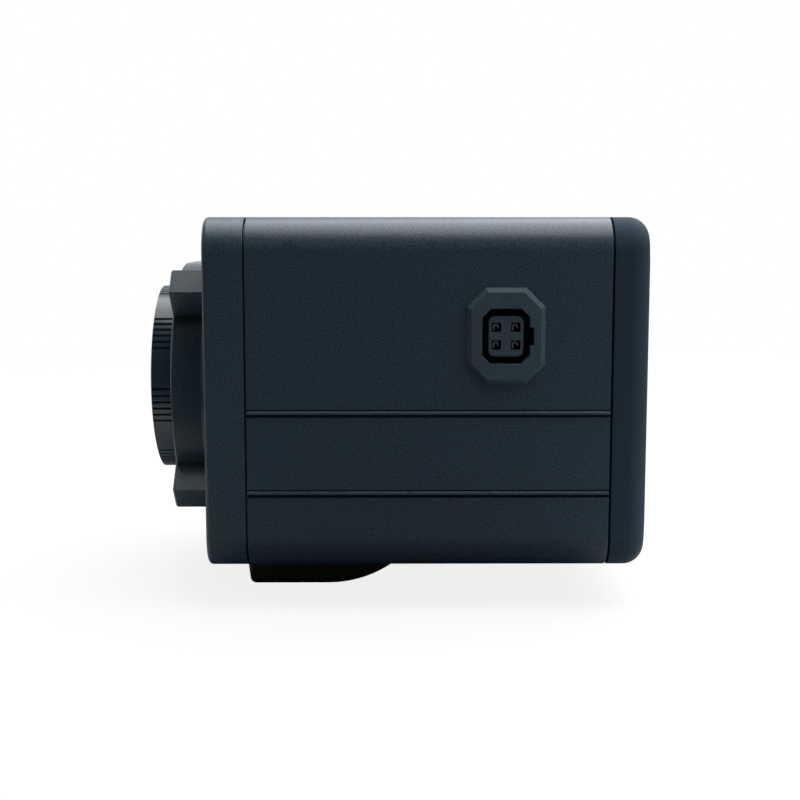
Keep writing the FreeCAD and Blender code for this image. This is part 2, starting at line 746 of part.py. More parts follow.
def mount_boss():
    """Moulded boss that carries the focus ring: an oval hub on a flared foot, with four corner ears."""
    body = new_body("mount_boss")
    foot_length = "(boss_flare + boss_foot)"
    foot_radius = f"({BOSS_RADIUS} + boss_flare)"
    foot = new_sketch(body, "YZ_Plane", f"-{foot_length}")
    foot_outline = []
    for side in (1, -1):
        foot_outline.append((f"{side} * boss_oval", f"-{side} * {foot_radius}", foot_radius, 1))
        foot_outline.append((f"{side} * (boss_oval + {foot_radius})", "0", foot_radius, 1))
        foot_outline.append((f"{side} * boss_oval", f"{side} * {foot_radius}"))
    outline(foot, foot_outline)
    flange = pad(body, foot, foot_length)
    foot_front = -number(foot_length)
    dress(body, "Chamfer", flange, edges_of(flange, lambda box: box.XMax < foot_front + TOUCH), "boss_flare")
    root = (f"(boss_oval + sqrt({BOSS_RADIUS} ^ 2 - ear_root_rise ^ 2))", "ear_root_rise")
    ridge = ("ear_ridge_side", "ear_ridge_rise")
    tip = ("ear_tip_side", "ear_tip_rise")
    heel = ("ear_heel_side", f"sqrt({BOSS_RADIUS} ^ 2 - (ear_heel_side - boss_oval) ^ 2)")
    crown = ("boss_oval", BOSS_RADIUS)
    hub_outline = []
    for side, rise in ((1, 1), (-1, 1), (-1, -1), (1, -1)):
        rising = side == rise
        quarter = [root, ridge, tip, heel, crown] if rising else [crown, heel, tip, ridge, root]
        arc_starts = [heel] if rising else [crown, root]
        for corner in quarter:
            across = (f"{side} * {corner[0]}", f"{rise} * {corner[1]}")
            hub_outline.append(across + (BOSS_RADIUS, 1) if corner in arc_starts else across)
    face = new_sketch(body, "YZ_Plane", "-boss_length")
    outline(face, hub_outline)
    hub = pad(body, face, "boss_length")
    front = -number("boss_length")
    dress(body, "Chamfer", hub, edges_of(hub, lambda box: box.XMax < front + TOUCH), "boss_chamfer")
    bore = new_sketch(body, "YZ_Plane")
    circle(bore, "0", "0", f"({RING_RADIUS} + ring_clearance)")
    pocket(body, bore, "boss_length")
    seat = new_sketch(body, "YZ_Plane")
    circle(seat, "0", "0", f"({FLANGE_RADIUS} + ring_clearance)")
    pocket(body, seat, "flange_length + 2 * ring_gap")
    taps = new_sketch(body, "YZ_Plane")
    circles_at_corners(taps, "ear_screw_side", "ear_screw_rise", "(small_radius + tap_clearance)")
    pocket(body, taps, "ear_screw_reach + tap_clearance")
    node(body, "mount_boss")


def boss_screws():
    """Four small screws from inside the front plate into the boss's ears."""
    screws = []
    for index, (side, rise) in enumerate(CORNERS):
        across = (f"{side} * ear_screw_side", f"{rise} * ear_screw_rise")
        head = rod(f"boss_screw_head_{index}", behind("front_wall", *across),
                   "small_head_radius", "small_head_height")
        shank = rod(f"boss_screw_shank_{index}", behind("-ear_screw_reach", *across),
                    "small_radius", "ear_screw_reach + front_wall")
        screws.append(fused(f"boss_screw_{index}", [head, shank]))
    group("boss_screws", screws)


def back_focus_ring():
    """Turned ring with a retaining flange and groups of axial finger grooves."""
    body = new_body("back_focus_ring")
    profile = new_sketch(body, "XZ_Plane")
    flange_front = "-ring_gap - flange_length"
    outline(profile, [
        ("-ring_gap", RING_BORE),
        ("-ring_gap", FLANGE_RADIUS),
        (flange_front, FLANGE_RADIUS),
        (flange_front, RING_RADIUS),
        ("ring_bevel - ring_front", RING_RADIUS),
        ("-ring_front", f"{RING_RADIUS} - ring_bevel"),
        ("-ring_front", RING_BORE),
    ])
    revolve(body, profile)
    grooves = new_sketch(body, "YZ_Plane", "-ring_front")
    for step in range(KNURLS_IN_GROUP):
        middle = f"(knurl_start + {step} * knurl_pitch)"
        rim = f"({RING_RADIUS} + knurl_depth / 2)"
        left = f"({middle} - knurl_angle / 2)"
        right = f"({middle} + knurl_angle / 2)"
        floor = f"({RING_RADIUS} - knurl_depth)"
        outline(grooves, [
            (f"-{rim} * cos({left})", f"-{rim} * sin({left})"),
            (f"-{floor} * cos({middle})", f"-{floor} * sin({middle})"),
            (f"-{rim} * cos({right})", f"-{rim} * sin({right})"),
        ])
    first = pocket(body, grooves, "ring_front - boss_length + knurl_overlap", True)
    pattern = body.newObject("PartDesign::PolarPattern", "knurl_pattern")
    pattern.Originals = [first]
    pattern.Axis = (grooves, ["N_Axis"])
    pattern.Angle = 360
    pattern.setExpression("Occurrences", linked("knurl_groups"))
    body.Tip = pattern
    node(body, "back_focus_ring")


def mount_barrel():
    """Threaded lens barrel that the ring drives along the axis; two flats keep it from turning."""
    body = new_body("mount_barrel")
    profile = new_sketch(body, "XZ_Plane")
    mouth = "barrel_recess - ring_front"
    outline(profile, [
        ("barrel_rear", "thread_radius - baffle_step"),
        ("barrel_rear", BARREL_RADIUS),
        (mouth, BARREL_RADIUS),
        (mouth, "thread_radius + thread_lead_in"),
        (f"{mouth} + thread_lead_in", "thread_radius"),
        (f"{mouth} + thread_length", "thread_radius"),
        (f"{mouth} + thread_length", "thread_radius - baffle_step"),
    ])
    revolve(body, profile)
    flats = new_sketch(body, "YZ_Plane", "barrel_rear")
    for sign in (-1, 1):
        inner = f"{sign} * {BARREL_FLAT}"
        outer = f"{sign} * 2 * {BARREL_RADIUS}"
        left, right = (outer, inner) if sign < 0 else (inner, outer)
        rectangle(flats, left, right, f"-{BARREL_RADIUS}", BARREL_RADIUS)
    pocket(body, flats, "barrel_rear + flat_lead")
    node(body, "mount_barrel")


# Image sensor and filter changer

def sensor_stack():
    """Image sensor package on its board, with a cover glass."""
    node(chip("image_sensor", IMAGE_PLANE, "0", "0", ("sensor_depth", "sensor_width", "sensor_height")),
         "image_sensor")
    glass = ("window_depth", "sensor_width - 2 * window_margin", "sensor_height - 2 * window_margin")
    node(chip("sensor_window", f"{IMAGE_PLANE} - window_depth", "0", "0", glass), "sensor_window")


def filter_base():
    """Moulded channel that guides the filter slider, with an aperture and four legs on the board."""
    body = new_body("filter_base")
    section = new_sketch(body, "XZ_Plane", f"-{FILTER_HALF}")
    lip_rise = f"({CHANNEL_RISE} - filter_lip_reach)"
    channel_rear = f"({FILTER_REAR} - filter_plate)"
    outline(section, [
        (FILTER_FRONT, f"-{FILTER_RISE}"),
        (FILTER_REAR, f"-{FILTER_RISE}"),
        (FILTER_REAR, FILTER_RISE),
        (FILTER_FRONT, FILTER_RISE),
        (FILTER_FRONT, lip_rise),
        (CHANNEL_FRONT, lip_rise),
        (CHANNEL_FRONT, CHANNEL_RISE),
        (channel_rear, CHANNEL_RISE),
        (channel_rear, f"-{CHANNEL_RISE}"),
        (CHANNEL_FRONT, f"-{CHANNEL_RISE}"),
        (CHANNEL_FRONT, f"-{lip_rise}"),
        (FILTER_FRONT, f"-{lip_rise}"),
    ])
    pad(body, section, f"2 * {FILTER_HALF}")
    stops = new_sketch(body, "YZ_Plane", channel_rear)
    for sign in (-1, 1):
        ends = [f"{sign} * {FILTER_HALF}", f"{sign} * {CHANNEL_HALF}"]
        left, right = ends if sign < 0 else reversed(ends)
        rectangle(stops, left, right, f"-{CHANNEL_RISE}", CHANNEL_RISE)
    pad(body, stops, f"{channel_rear} - {CHANNEL_FRONT}", True)
    aperture = new_sketch(body, "YZ_Plane", FILTER_REAR)
    window_side = "(sensor_width / 2 - window_margin)"
    window_rise = "(sensor_height / 2 - window_margin)"
    rectangle(aperture, f"-{window_side}", window_side, f"-{window_rise}", window_rise)
    pocket(body, aperture, "filter_plate")
    legs = new_sketch(body, "YZ_Plane", FILTER_REAR)
    circles_at_corners(legs, f"({FILTER_HALF} - filter_leg_inset)", f"({FILTER_RISE} - filter_leg_inset)",
                       "filter_leg")
    pad(body, legs, f"{SENSOR_BOARD} - {FILTER_REAR}")
    node(body, "filter_base")


def filter_coil():
    """Coil block under the channel that drives the slider."""
    coil = chip("filter_coil", f"({FILTER_REAR} - filter_plate)", "0",
                f"(-{FILTER_RISE} - coil_height / 2)",
                (f"{SENSOR_BOARD} - {FILTER_REAR} + filter_plate", "coil_width", "coil_height"))
    node(coil, "filter_coil")


def filter_slider():
    """Sliding frame with two panes, shown with the infrared-cut pane on the axis."""
    body = new_body("filter_slider", behind("0", "pane_pitch / 2"))
    front = f"{SLIDER_REAR} - slider_depth"
    frame = new_sketch(body, "YZ_Plane", front)
    rectangle(frame, f"-{SLIDER_HALF}", SLIDER_HALF, "-slider_height / 2", "slider_height / 2")
    pad(body, frame, "slider_depth")
    for half, depth in (("(pane_size / 2 - pane_ledge)", "slider_depth"),
                        ("(pane_size / 2 + pane_clearance)", "pane_depth + pane_clearance")):
        sketch = new_sketch(body, "YZ_Plane", front)
        for sign in (-1, 1):
            middle = f"{sign} * pane_pitch / 2"
            rectangle(sketch, f"{middle} - {half}", f"{middle} + {half}", f"-{half}", half)
        pocket(body, sketch, depth, True)
    node(body, "filter_slider")
    size = ("pane_depth", "pane_size", "pane_size")
    depth = f"{front} + pane_clearance"
    node(chip("infrared_glass", depth, "0", "0", size), "infrared_glass")
    node(chip("clear_glass", depth, "pane_pitch", "0", size), "clear_glass")


# Boards

def circuit_board(label, depth, half_width, half_height):
    """Make a board across the axis with holes for the spacers."""
    body = new_body(label)
    sheet_outline = new_sketch(body, "YZ_Plane", depth)
    rounded(sheet_outline, half_width, half_height, "board_round")
    circles_at_corners(sheet_outline, POST_SIDE, POST_RISE, "(small_radius + pass_clearance)")
    pad(body, sheet_outline, "board_depth")
    node(body, label)


def spacers(label, start, length):
    """Make four six-sided spacers, each with a stud in front and a tapped hole behind."""
    pieces = []
    for index, (side, rise) in enumerate(CORNERS):
        across = (f"{side} * {POST_SIDE}", f"{rise} * {POST_RISE}")
        shaft = hexagon(f"{label}_shaft_{index}", behind(start, *across), "spacer_radius", length)
        stud = rod(f"{label}_stud_{index}", behind(f"{start} - stud_length", *across),
                   "small_radius", "stud_length")
        hole = rod(f"{label}_hole_{index}", behind(f"{start} + {length} - spacer_hole", *across),
                   "(small_radius + tap_clearance)", "spacer_hole")
        whole = fused(f"{label}_blank_{index}", [shaft, stud])
        pieces.append(cut(f"{label}_{index}", whole, [hole]))
    group(label, pieces)


def board_screws():
    """Four screws that hold the connector board on the spacers."""
    screws = []
    seat = f"{IO_BOARD} + board_depth"
    for index, (side, rise) in enumerate(CORNERS):
        across = (f"{side} * {POST_SIDE}", f"{rise} * {POST_RISE}")
        head = rod(f"board_screw_head_{index}", behind(seat, *across),
                   "small_head_radius", "small_head_height")
        shank = rod(f"board_screw_shank_{index}", behind(f"{seat} - stud_length", *across),
                    "small_radius", "stud_length")
        screws.append(fused(f"board_screw_{index}", [head, shank]))
    group("board_screws", screws)


def board_parts():
    """Processor, memory and the links between the boards."""
    rear = f"{MAIN_BOARD} + board_depth"
    processor_box = ("processor_depth", "processor_size", "processor_size")
    node(chip("processor", rear, "0", "0", processor_box), "processor")
    chips = []
    for sign in (-1, 1):
        chips.append(chip(f"memory_chip_{sign + 1}", rear, f"{sign} * memory_spread", "0",
                          ("memory_depth", "memory_width", "memory_height")))
    group("memory_chips", chips)
    link_rise = f"({POST_RISE} - spacer_radius - link_gap - link_height / 2)"
    link = chip("board_link", f"{SENSOR_BOARD} + board_depth", "0", link_rise,
                ("front_spacer", "link_width", "link_height"))
    node(link, "board_link")
    socket_size = ("ribbon_socket_depth", "ribbon_socket_width", "ribbon_socket_height")
    front_socket = chip("ribbon_socket_front", rear, "0", "-ribbon_drop", socket_size)
    rear_socket = chip("ribbon_socket_rear", f"{IO_BOARD} - ribbon_socket_depth", "0", "-ribbon_drop",
                       socket_size)
    group("ribbon_sockets", [front_socket, rear_socket])
    start = f"{rear} + ribbon_socket_depth"
    ribbon = chip("ribbon_cable", start, "0", "-ribbon_drop",
                  (f"{IO_BOARD} - ribbon_socket_depth - ({start})", "ribbon_width", "ribbon_depth"))
    node(ribbon, "ribbon_cable")


# Rear connectors

def ethernet_jack():
    """Network jack with a stepped plug opening, and its eight spring contacts."""
    body = new_body("ethernet_jack", behind("0", JACK_SIDE, "-jack_drop"))
    shell = new_sketch(body, "YZ_Plane", JACK_ROOT)
    rectangle(shell, "-jack_width / 2", "jack_width / 2", "-jack_height / 2", "jack_height / 2")
    pad(body, shell, "jack_length")
    opening = new_sketch(body, "YZ_Plane", JACK_FACE)
    top = "plug_rise + plug_height / 2"
    floor = "plug_rise - plug_height / 2"
    key_floor = f"{floor} - key_height"
    latch_floor = f"{key_floor} - latch_height"
    outline(opening, [
        ("-plug_width / 2", top),
        ("-plug_width / 2", floor),
        ("-key_width / 2", floor),
        ("-key_width / 2", key_floor),
        ("-latch_width / 2", key_floor),
        ("-latch_width / 2", latch_floor),
        ("latch_width / 2", latch_floor),
        ("latch_width / 2", key_floor),
        ("key_width / 2", key_floor),
        ("key_width / 2", floor),
        ("plug_width / 2", floor),
        ("plug_width / 2", top),
    ])
    pocket(body, opening, "plug_depth")
    node(body, "ethernet_jack")
    contacts = new_body("ethernet_contacts", behind("0", JACK_SIDE, "-jack_drop"))
    row = f"({CONTACTS} - 1) * contact_pitch"
    wire = new_sketch(contacts, "XZ_Plane", f"-({row} + contact_width) / 2")
    root = f"({JACK_FACE} - contact_setback)"
    outline(wire, [
        (root, top),
        (f"{root} - contact_root", top),
        (f"{root} - contact_reach", f"{top} - contact_drop"),
        (f"{root} - contact_reach", f"{top} - contact_drop - contact_depth"),
        (f"{root} - contact_root / 2", f"{top} - contact_depth"),
        (root, f"{top} - contact_depth"),
    ])
    strip = pad(contacts, wire, "contact_width")
    row_of_wires = contacts.newObject("PartDesign::LinearPattern", "contact_pattern")
    row_of_wires.Originals = [strip]
    row_of_wires.Direction = (wire, ["N_Axis"])
    row_of_wires.setExpression("Length", linked(row))
    row_of_wires.Occurrences = CONTACTS
    contacts.Tip = row_of_wires
    node(contacts, "ethernet_contacts")


def round_jack(label, side, rise, radius, nose, bore, depth):
    """Make a turned jack that stands on the connector board with its nose in the rear wall."""
    body = new_body(label, behind("0", side, rise))
    profile = new_sketch(body, "XZ_Plane")
    shoulder = f"{REAR_INSIDE} - shoulder_gap"
    outline(profile, [
        (JACK_ROOT, "0"),
        (f"{JACK_FACE} - {depth}", "0"),
        (f"{JACK_FACE} - {depth}", bore),
        (JACK_FACE, bore),
        (JACK_FACE, nose),
        (shoulder, nose),
        (shoulder, radius),
        (JACK_ROOT, radius),
    ])
    revolve(body, profile)
    node(body, label)


def power_pin():
    """Centre pin of the power jack."""
    pin_rod = rod("power_pin", behind(f"{JACK_FACE} - power_depth", POWER_SIDE, "-power_drop"),
                  "power_pin", "power_pin_length")
    node(pin_rod, "power_pin")


def reset_parts():
    """Push button behind a small hole in the rear cover, and the switch under it."""
    size = ("switch_depth", "switch_size", "switch_size")
    node(chip("reset_switch", JACK_ROOT, "button_side", "audio_rise", size), "reset_switch")
    body = new_body("reset_button", behind("0", "button_side", "audio_rise"))
    profile = new_sketch(body, "XZ_Plane")
    root = f"({JACK_ROOT} + switch_depth + button_travel + tap_clearance)"
    face = f"({REAR_FACE} - button_recess)"
    outline(profile, [
        (root, "0"),
        (face, "0"),
        (face, "button_radius"),
        (f"{root} + button_collar_length", "button_radius"),
        (f"{root} + button_collar_length", "button_collar"),
        (root, "button_collar"),
    ])
    revolve(body, profile)
    node(body, "reset_button")


def status_lights():
    """Two small lamps on the board and the light pipes in front of them."""
    lamps = []
    pipes = []
    for sign in (-1, 1):
        rise = f"audio_rise + {sign} * light_spread"
        lamps.append(chip(f"status_lamp_{sign + 1}", JACK_ROOT, "light_side", f"({rise})",
                          ("led_depth", "led_width", "led_height")))
        start = f"{JACK_ROOT} + led_depth"
        pipes.append(rod(f"light_pipe_{sign + 1}", behind(start, "light_side", rise),
                         "light_radius", f"{REAR_FACE} - ({start})"))
    group("status_lamps", lamps)
    group("light_pipes", pipes)


# Auto-iris socket

def iris_bezel():
    """Moulded socket with a bevelled eight-sided flange outside the sleeve and a keyed opening."""
    body = new_body("iris_bezel", IRIS_SPOT)
    flange = new_sketch(body, "XZ_Plane")
    corners = eight_sided("bezel_width / 2", "bezel_height / 2", "bezel_corner")
    outline(flange, corners)
    plate = pad(body, flange, "bezel_proud")
    front = -number("bezel_proud")
    dress(body, "Chamfer", plate, edges_of(plate, lambda box: box.YMax < front + TOUCH), "bezel_bevel")
    neck = new_sketch(body, "XZ_Plane")
    rectangle(neck, f"-{NECK_SIDE}", NECK_SIDE, f"-{NECK_RISE}", NECK_RISE)
    pad(body, neck, "opening_depth - bezel_proud + neck_floor", True)
    opening = new_sketch(body, "XZ_Plane", "bezel_proud")
    half = "opening_width / 2"
    keyed = eight_sided(half, "opening_height / 2", "opening_corner")
    keyway = f"{half} + keyway_depth"
    keyed[1:1] = [(half, "-keyway_width / 2"), (keyway, "-keyway_width / 2"),
                  (keyway, "keyway_width / 2"), (half, "keyway_width / 2")]
    outline(opening, keyed)
    pocket(body, opening, "opening_depth")
    node(body, "iris_bezel")


def eight_sided(half_width, half_height, corner):
    """Return an upright rectangle with its corners cut, anticlockwise from the lower right."""
    return [
        (half_width, f"{corner} - {half_height}"),
        (half_width, f"{half_height} - {corner}"),
        (f"{half_width} - {corner}", half_height),
        (f"{corner} - {half_width}", half_height),
        (f"-{half_width}", f"{half_height} - {corner}"),
        (f"-{half_width}", f"{corner} - {half_height}"),
        (f"{corner} - {half_width}", f"-{half_height}"),
        (f"{half_width} - {corner}", f"-{half_height}"),
    ]


def iris_core():
    """Insulator with four square holes, standing on the floor of the socket, and its contacts."""
    body = new_body("iris_core", IRIS_SPOT)
    height = "opening_depth - core_recess"
    face = "bezel_proud - core_recess"
    post = new_sketch(body, "XZ_Plane", face)
    rounded(post, "core_width / 2", "core_height / 2", "core_round")
    pad(body, post, height, True)
    holes = new_sketch(body, "XZ_Plane", face)
    for side, rise in CORNERS:
        across = f"{side} * pin_pitch_side / 2"
        up = f"{rise} * pin_pitch_rise / 2"
        rectangle(holes, f"{across} - pin_hole / 2", f"{across} + pin_hole / 2",
                  f"{up} - pin_hole / 2", f"{up} + pin_hole / 2")
    pocket(body, holes, "pin_hole_depth")
    node(body, "iris_core")
    pins = []
    for index, (side, rise) in enumerate(CORNERS):
        spot = (
            f"{IRIS_SPOT[0]} + {side} * pin_pitch_side / 2 - pin_size / 2",
            f"{IRIS_SPOT[1]} - ({face}) + pin_hole_depth - pin_length",
            f"{IRIS_SPOT[2]} + {rise} * pin_pitch_rise / 2 - pin_size / 2",
        )
        pins.append(block(f"iris_contact_{index}", spot, ("pin_size", "pin_length", "pin_size")))
    group("iris_contacts", pins)


# Tripod pad

def tripod_pad():
    """Moulded pad under the body, square in front and swept up behind, with a brass thread insert."""
    body = new_body("tripod_pad", ("0", "0", "0"))
    side_view = new_sketch(body, "XZ_Plane", "-pad_width / 2")
    sweep = "(((pad_rear - pad_flat) ^ 2 + pad_height ^ 2) / (2 * pad_height))"
    outline(side_view, [
        ("-pad_front", "pad_height"),
        ("pad_draft - pad_front", "0"),
        ("pad_flat", "0", sweep, 1),
        ("pad_rear", "pad_height"),
    ])
    blank = pad(body, side_view, "pad_width")
    lower = edges_of(blank, lambda box: box.XMax < 0 and box.ZMax < TOUCH)
    front_edge = dress(body, "Fillet", blank, lower, "pad_edge")
    limit = number("pad_width / 2") - TOUCH
    top = number("pad_height") - TOUCH
    sides = edges_of(front_edge, lambda box: abs(box.YMin) > limit and box.YLength < TOUCH and box.ZMin < top)
    dress(body, "Fillet", front_edge, sides, "pad_side_round")
    bore = new_sketch(body, "XY_Plane")
    circle(bore, "0", "0", "insert_radius")
    pocket(body, bore, "pad_height", True)
    screws = new_sketch(body, "XY_Plane")
    for sign in (-1, 1):
        circle(screws, "0", f"{sign} * pad_screw_side", "(screw_radius + pass_clearance)")
    screw_holes(body, screws, "screw_radius + pass_clearance", "Countersink",
                "sink_radius + sink_clearance", reverse=True)
    node(body, "tripod_pad")
    insert = new_body("tripod_insert", ("0", "0", "0"))
    ring = new_sketch(insert, "XY_Plane")
    circle(ring, "0", "0", "(insert_radius - insert_fit)")
    circle(ring, "0", "0", "tripod_radius")
    pad(insert, ring, "pad_height")
    node(insert, "tripod_insert")


def pad_screws():
    """Two countersunk screws from below through the pad into the sleeve."""
    screws = []
    for sign in (-1, 1):
        spot = ("0", f"{sign} * pad_screw_side", "0")
        head = cone(f"pad_screw_head_{sign + 1}", spot, "sink_radius", "screw_radius",
                    "sink_radius - screw_radius", "z")
        shank = rod(f"pad_screw_shank_{sign + 1}", spot, "screw_radius", "pad_height + sleeve_wall", "z")
        socket = hexagon(f"pad_screw_socket_{sign + 1}", spot, "hex_radius", "hex_depth", "z")
        whole = fused(f"pad_screw_blank_{sign + 1}", [head, shank])
        screws.append(cut(f"pad_screw_{sign + 1}", whole, [socket]))
    group("pad_screws", screws)


body_sleeve()
front_plate()
rear_cover()
front_screws()
rear_screws()
mount_boss()
boss_screws()
back_focus_ring()
mount_barrel()
sensor_stack()
filter_base()
filter_coil()
filter_slider()
circuit_board("sensor_board", SENSOR_BOARD, f"({POST_SIDE} + sensor_board_side)",
              f"({POST_RISE} + sensor_board_rise)")
circuit_board("main_board", MAIN_BOARD, BOARD_SIDE, BOARD_RISE)
circuit_board("connector_board", IO_BOARD, BOARD_SIDE, BOARD_RISE)
spacers("front_spacers", f"{SENSOR_BOARD} + board_depth", "front_spacer")
spacers("rear_spacers", f"{MAIN_BOARD} + board_depth", f"({IO_BOARD} - {MAIN_BOARD} - board_depth)")
board_screws()
board_parts()
ethernet_jack()
round_jack("power_jack", POWER_SIDE, "-power_drop", "power_radius", "power_nose", "power_bore", "power_depth")
power_pin()
for jack, across in (("audio_in_jack", AUDIO_IN_SIDE), ("audio_out_jack", AUDIO_OUT_SIDE)):
    round_jack(jack, across, "audio_rise", "audio_radius", "audio_nose", "audio_bore", "audio_depth")
reset_parts()
status_lights()
iris_bezel()
iris_core()
tripod_pad()
pad_screws()

doc.recompute()
for thing in doc.Objects:
    if "Invalid" in thing.State or "Error" in thing.State:
        raise RuntimeError(f"{thing.Name} failed: {thing.State}")
for thing in nodes:
    if thing.Shape.isNull() or not thing.Shape.isValid():
        raise RuntimeError(f"{thing.Label} has no valid shape")

os.makedirs("parts", exist_ok=True)
for thing in nodes:
    thing.Shape.exportStep(f"parts/{thing.Label}.step")
    box = thing.Shape.BoundBox
    print(f"{thing.Label}: {len(thing.Shape.Solids)} solids, {thing.Shape.Volume:.1f} mm3, "
          f"x {box.XMin:.2f} to {box.XMax:.2f}, y {box.YMin:.2f} to {box.YMax:.2f}, "
          f"z {box.ZMin:.2f} to {box.ZMax:.2f}")
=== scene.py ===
import json
from math import cos, pi, radians, sin, tau

import bmesh
import bpy
from mathutils import Matrix, Vector

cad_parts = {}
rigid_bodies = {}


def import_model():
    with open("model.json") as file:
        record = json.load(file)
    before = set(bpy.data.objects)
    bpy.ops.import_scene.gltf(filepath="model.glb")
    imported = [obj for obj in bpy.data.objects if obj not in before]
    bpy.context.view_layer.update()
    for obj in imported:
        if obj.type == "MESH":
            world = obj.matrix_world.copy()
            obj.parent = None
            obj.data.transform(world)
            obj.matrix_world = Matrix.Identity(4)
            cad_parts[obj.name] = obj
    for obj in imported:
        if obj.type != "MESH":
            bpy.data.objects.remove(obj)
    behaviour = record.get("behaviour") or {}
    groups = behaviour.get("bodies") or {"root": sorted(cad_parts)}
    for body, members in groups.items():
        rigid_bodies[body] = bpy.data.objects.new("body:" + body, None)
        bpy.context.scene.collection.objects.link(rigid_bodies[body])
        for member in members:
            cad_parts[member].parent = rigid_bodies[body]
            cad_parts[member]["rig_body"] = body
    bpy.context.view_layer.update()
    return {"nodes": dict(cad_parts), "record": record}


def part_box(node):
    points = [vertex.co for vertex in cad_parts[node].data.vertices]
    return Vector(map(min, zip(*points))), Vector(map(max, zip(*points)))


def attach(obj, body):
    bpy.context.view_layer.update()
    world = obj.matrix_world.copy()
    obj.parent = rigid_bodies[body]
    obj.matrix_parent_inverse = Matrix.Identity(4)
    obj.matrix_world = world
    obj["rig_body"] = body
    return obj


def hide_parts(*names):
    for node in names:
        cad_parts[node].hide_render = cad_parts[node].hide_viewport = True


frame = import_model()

# Front plate
# An aluminium casting under a fine matte powder coat, with a crisp front edge. It closes the sleeve and
# carries the lens mount outside and the sensor board on posts inside. Four countersunk screws hold it.

MM = 0.001
WELD = 0.001 * MM
FLAT_ANGLE = radians(0.4)
EDGE_ANGLE = radians(30)
SMOOTH_ANGLE = radians(50)
PLATE_EDGE = 0.12 * MM
PLATE_CORNER = 5.2 * MM
PLATE_ROUND = 2.0 * MM
PLATE_TOUCH = 0.02 * MM
PLATE_CRISP = 0.35
COAT_COLOUR = (0.0202, 0.0408, 0.0617)
COAT_TONES = (0.4, 1.6)
COAT_SCALE = 3800.0
COAT_RELIEF = 0.02 * MM
# Colour of the pale flecks: painted highlights of grains that catch the light.
GLINT_FLECK_COLOUR = (0.042, 0.060, 0.076, 1)
GLINT_FLECK_SCALE = 3600.0
GLINT_FLECK_SHARE = (0.55, 0.0)
GLINT_FLECK_REACH = (0.05, 0.22)


def add(tree, kind, inputs=None, **fields):
    """Add a shader node, set its fields, fill or link its inputs, and return its outputs."""
    made = tree.nodes.new(f"ShaderNode{kind}")
    for field, value in fields.items():
        setattr(made, field, value)
    for socket, value in (inputs or {}).items():
        if isinstance(value, bpy.types.NodeSocket):
            tree.links.new(value, made.inputs[socket])
        else:
            made.inputs[socket].default_value = value
    return made.outputs


def start(name, sockets):
    """Start a material, with what is the same all over it set on the shader's own sockets."""
    finish = bpy.data.materials.new(name)
    finish.use_nodes = True
    surface = finish.node_tree.nodes["Principled BSDF"]
    for socket, value in sockets.items():
        surface.inputs[socket].default_value = value
    return finish, finish.node_tree, surface.inputs


def relief(tree, surface, height, depth, strength):
    """Raise a height over the surface through a bump."""
    bump = add(tree, "Bump", {"Height": height, "Distance": depth, "Strength": strength})
    tree.links.new(bump["Normal"], surface["Normal"])


def spread(tree, value, low, high, from_low=0.3, from_high=0.7):
    """Stretch a value over a new range, by default from the range of a noise."""
    stretched = add(tree, "MapRange", {"Value": value, "From Min": from_low, "From Max": from_high,
                                       "To Min": low, "To Max": high})
    return stretched["Result"]


def shaded(tree, colour, amount):
    """Lighten or darken a colour by a changing amount."""
    return add(tree, "VectorMath", {0: colour, "Scale": amount}, operation="SCALE")["Vector"]


def blended(tree, amount, first, second):
    """Go from one colour to another by a changing amount."""
    return add(tree, "Mix", {0: amount, 6: first, 7: second}, data_type="RGBA")[2]


def powder_coat(name, roughness):
    """A matte coat of fused grains, with a few pale flecks painted into its colour as highlights of grains
    that catch the light.
    """
    finish, tree, surface = start(name, {"Roughness": roughness, "Specular IOR Level": 0.5})
    place = add(tree, "TexCoord")["Object"]
    grain = add(tree, "TexNoise", {"Vector": place, "Scale": COAT_SCALE, "Detail": 2.0})["Fac"]
    cells = add(tree, "TexVoronoi", {"Vector": place, "Scale": GLINT_FLECK_SCALE})["Distance"]
    # The pale flecks are painted highlights, glints of grains catching the light, painted into the coat's
    # colour.
    glint_flecks = spread(tree, cells, *GLINT_FLECK_SHARE, *GLINT_FLECK_REACH)
    toned = shaded(tree, COAT_COLOUR, spread(tree, grain, *COAT_TONES))
    tree.links.new(blended(tree, glint_flecks, toned, GLINT_FLECK_COLOUR), surface["Base Color"])
    relief(tree, surface, grain, COAT_RELIEF, strength=0.8)
    return finish


def shown(form, name, body, finish):
    """Turn a finished form into a smooth piece that rides on a body."""
    mesh = bpy.data.meshes.new(name)
    form.to_mesh(mesh)
    form.free()
    mesh.shade_smooth()
    mesh.set_sharp_from_angle(angle=SMOOTH_ANGLE)
    mesh.materials.clear()
    mesh.materials.append(finish)
    piece = bpy.data.objects.new(name, mesh)
    bpy.context.scene.collection.objects.link(piece)
    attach(piece, body)
    return piece


def eased_form(node, radius, sharp=EDGE_ANGLE):
    """Copy a node's shape and round its sharp edges, as the real process leaves them."""
    form = bmesh.new()
    form.from_mesh(frame["nodes"][node].data)
    bmesh.ops.remove_doubles(form, verts=form.verts, dist=WELD)
    bmesh.ops.dissolve_limit(form, angle_limit=FLAT_ANGLE, verts=form.verts, edges=form.edges)
    edges = [edge for edge in form.edges if edge.is_manifold and edge.calc_face_angle() > sharp]
    bmesh.ops.bevel(form, geom=edges, offset=radius, offset_type="OFFSET", segments=2, profile=0.5,
                    affect="EDGES", clamp_overlap=True)
    return form


def stand_in(form, node, name, finish):
    """Show a form instead of a node."""
    piece = shown(form, name, frame["nodes"][node]["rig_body"], finish)
    piece.modifiers.new("even_faces", "WEIGHTED_NORMAL").keep_sharp = True
    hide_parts(node)


def eased(node, name, radius, finish):
    """Show a node with its edges rounded."""
    stand_in(eased_form(node, radius), node, name, finish)


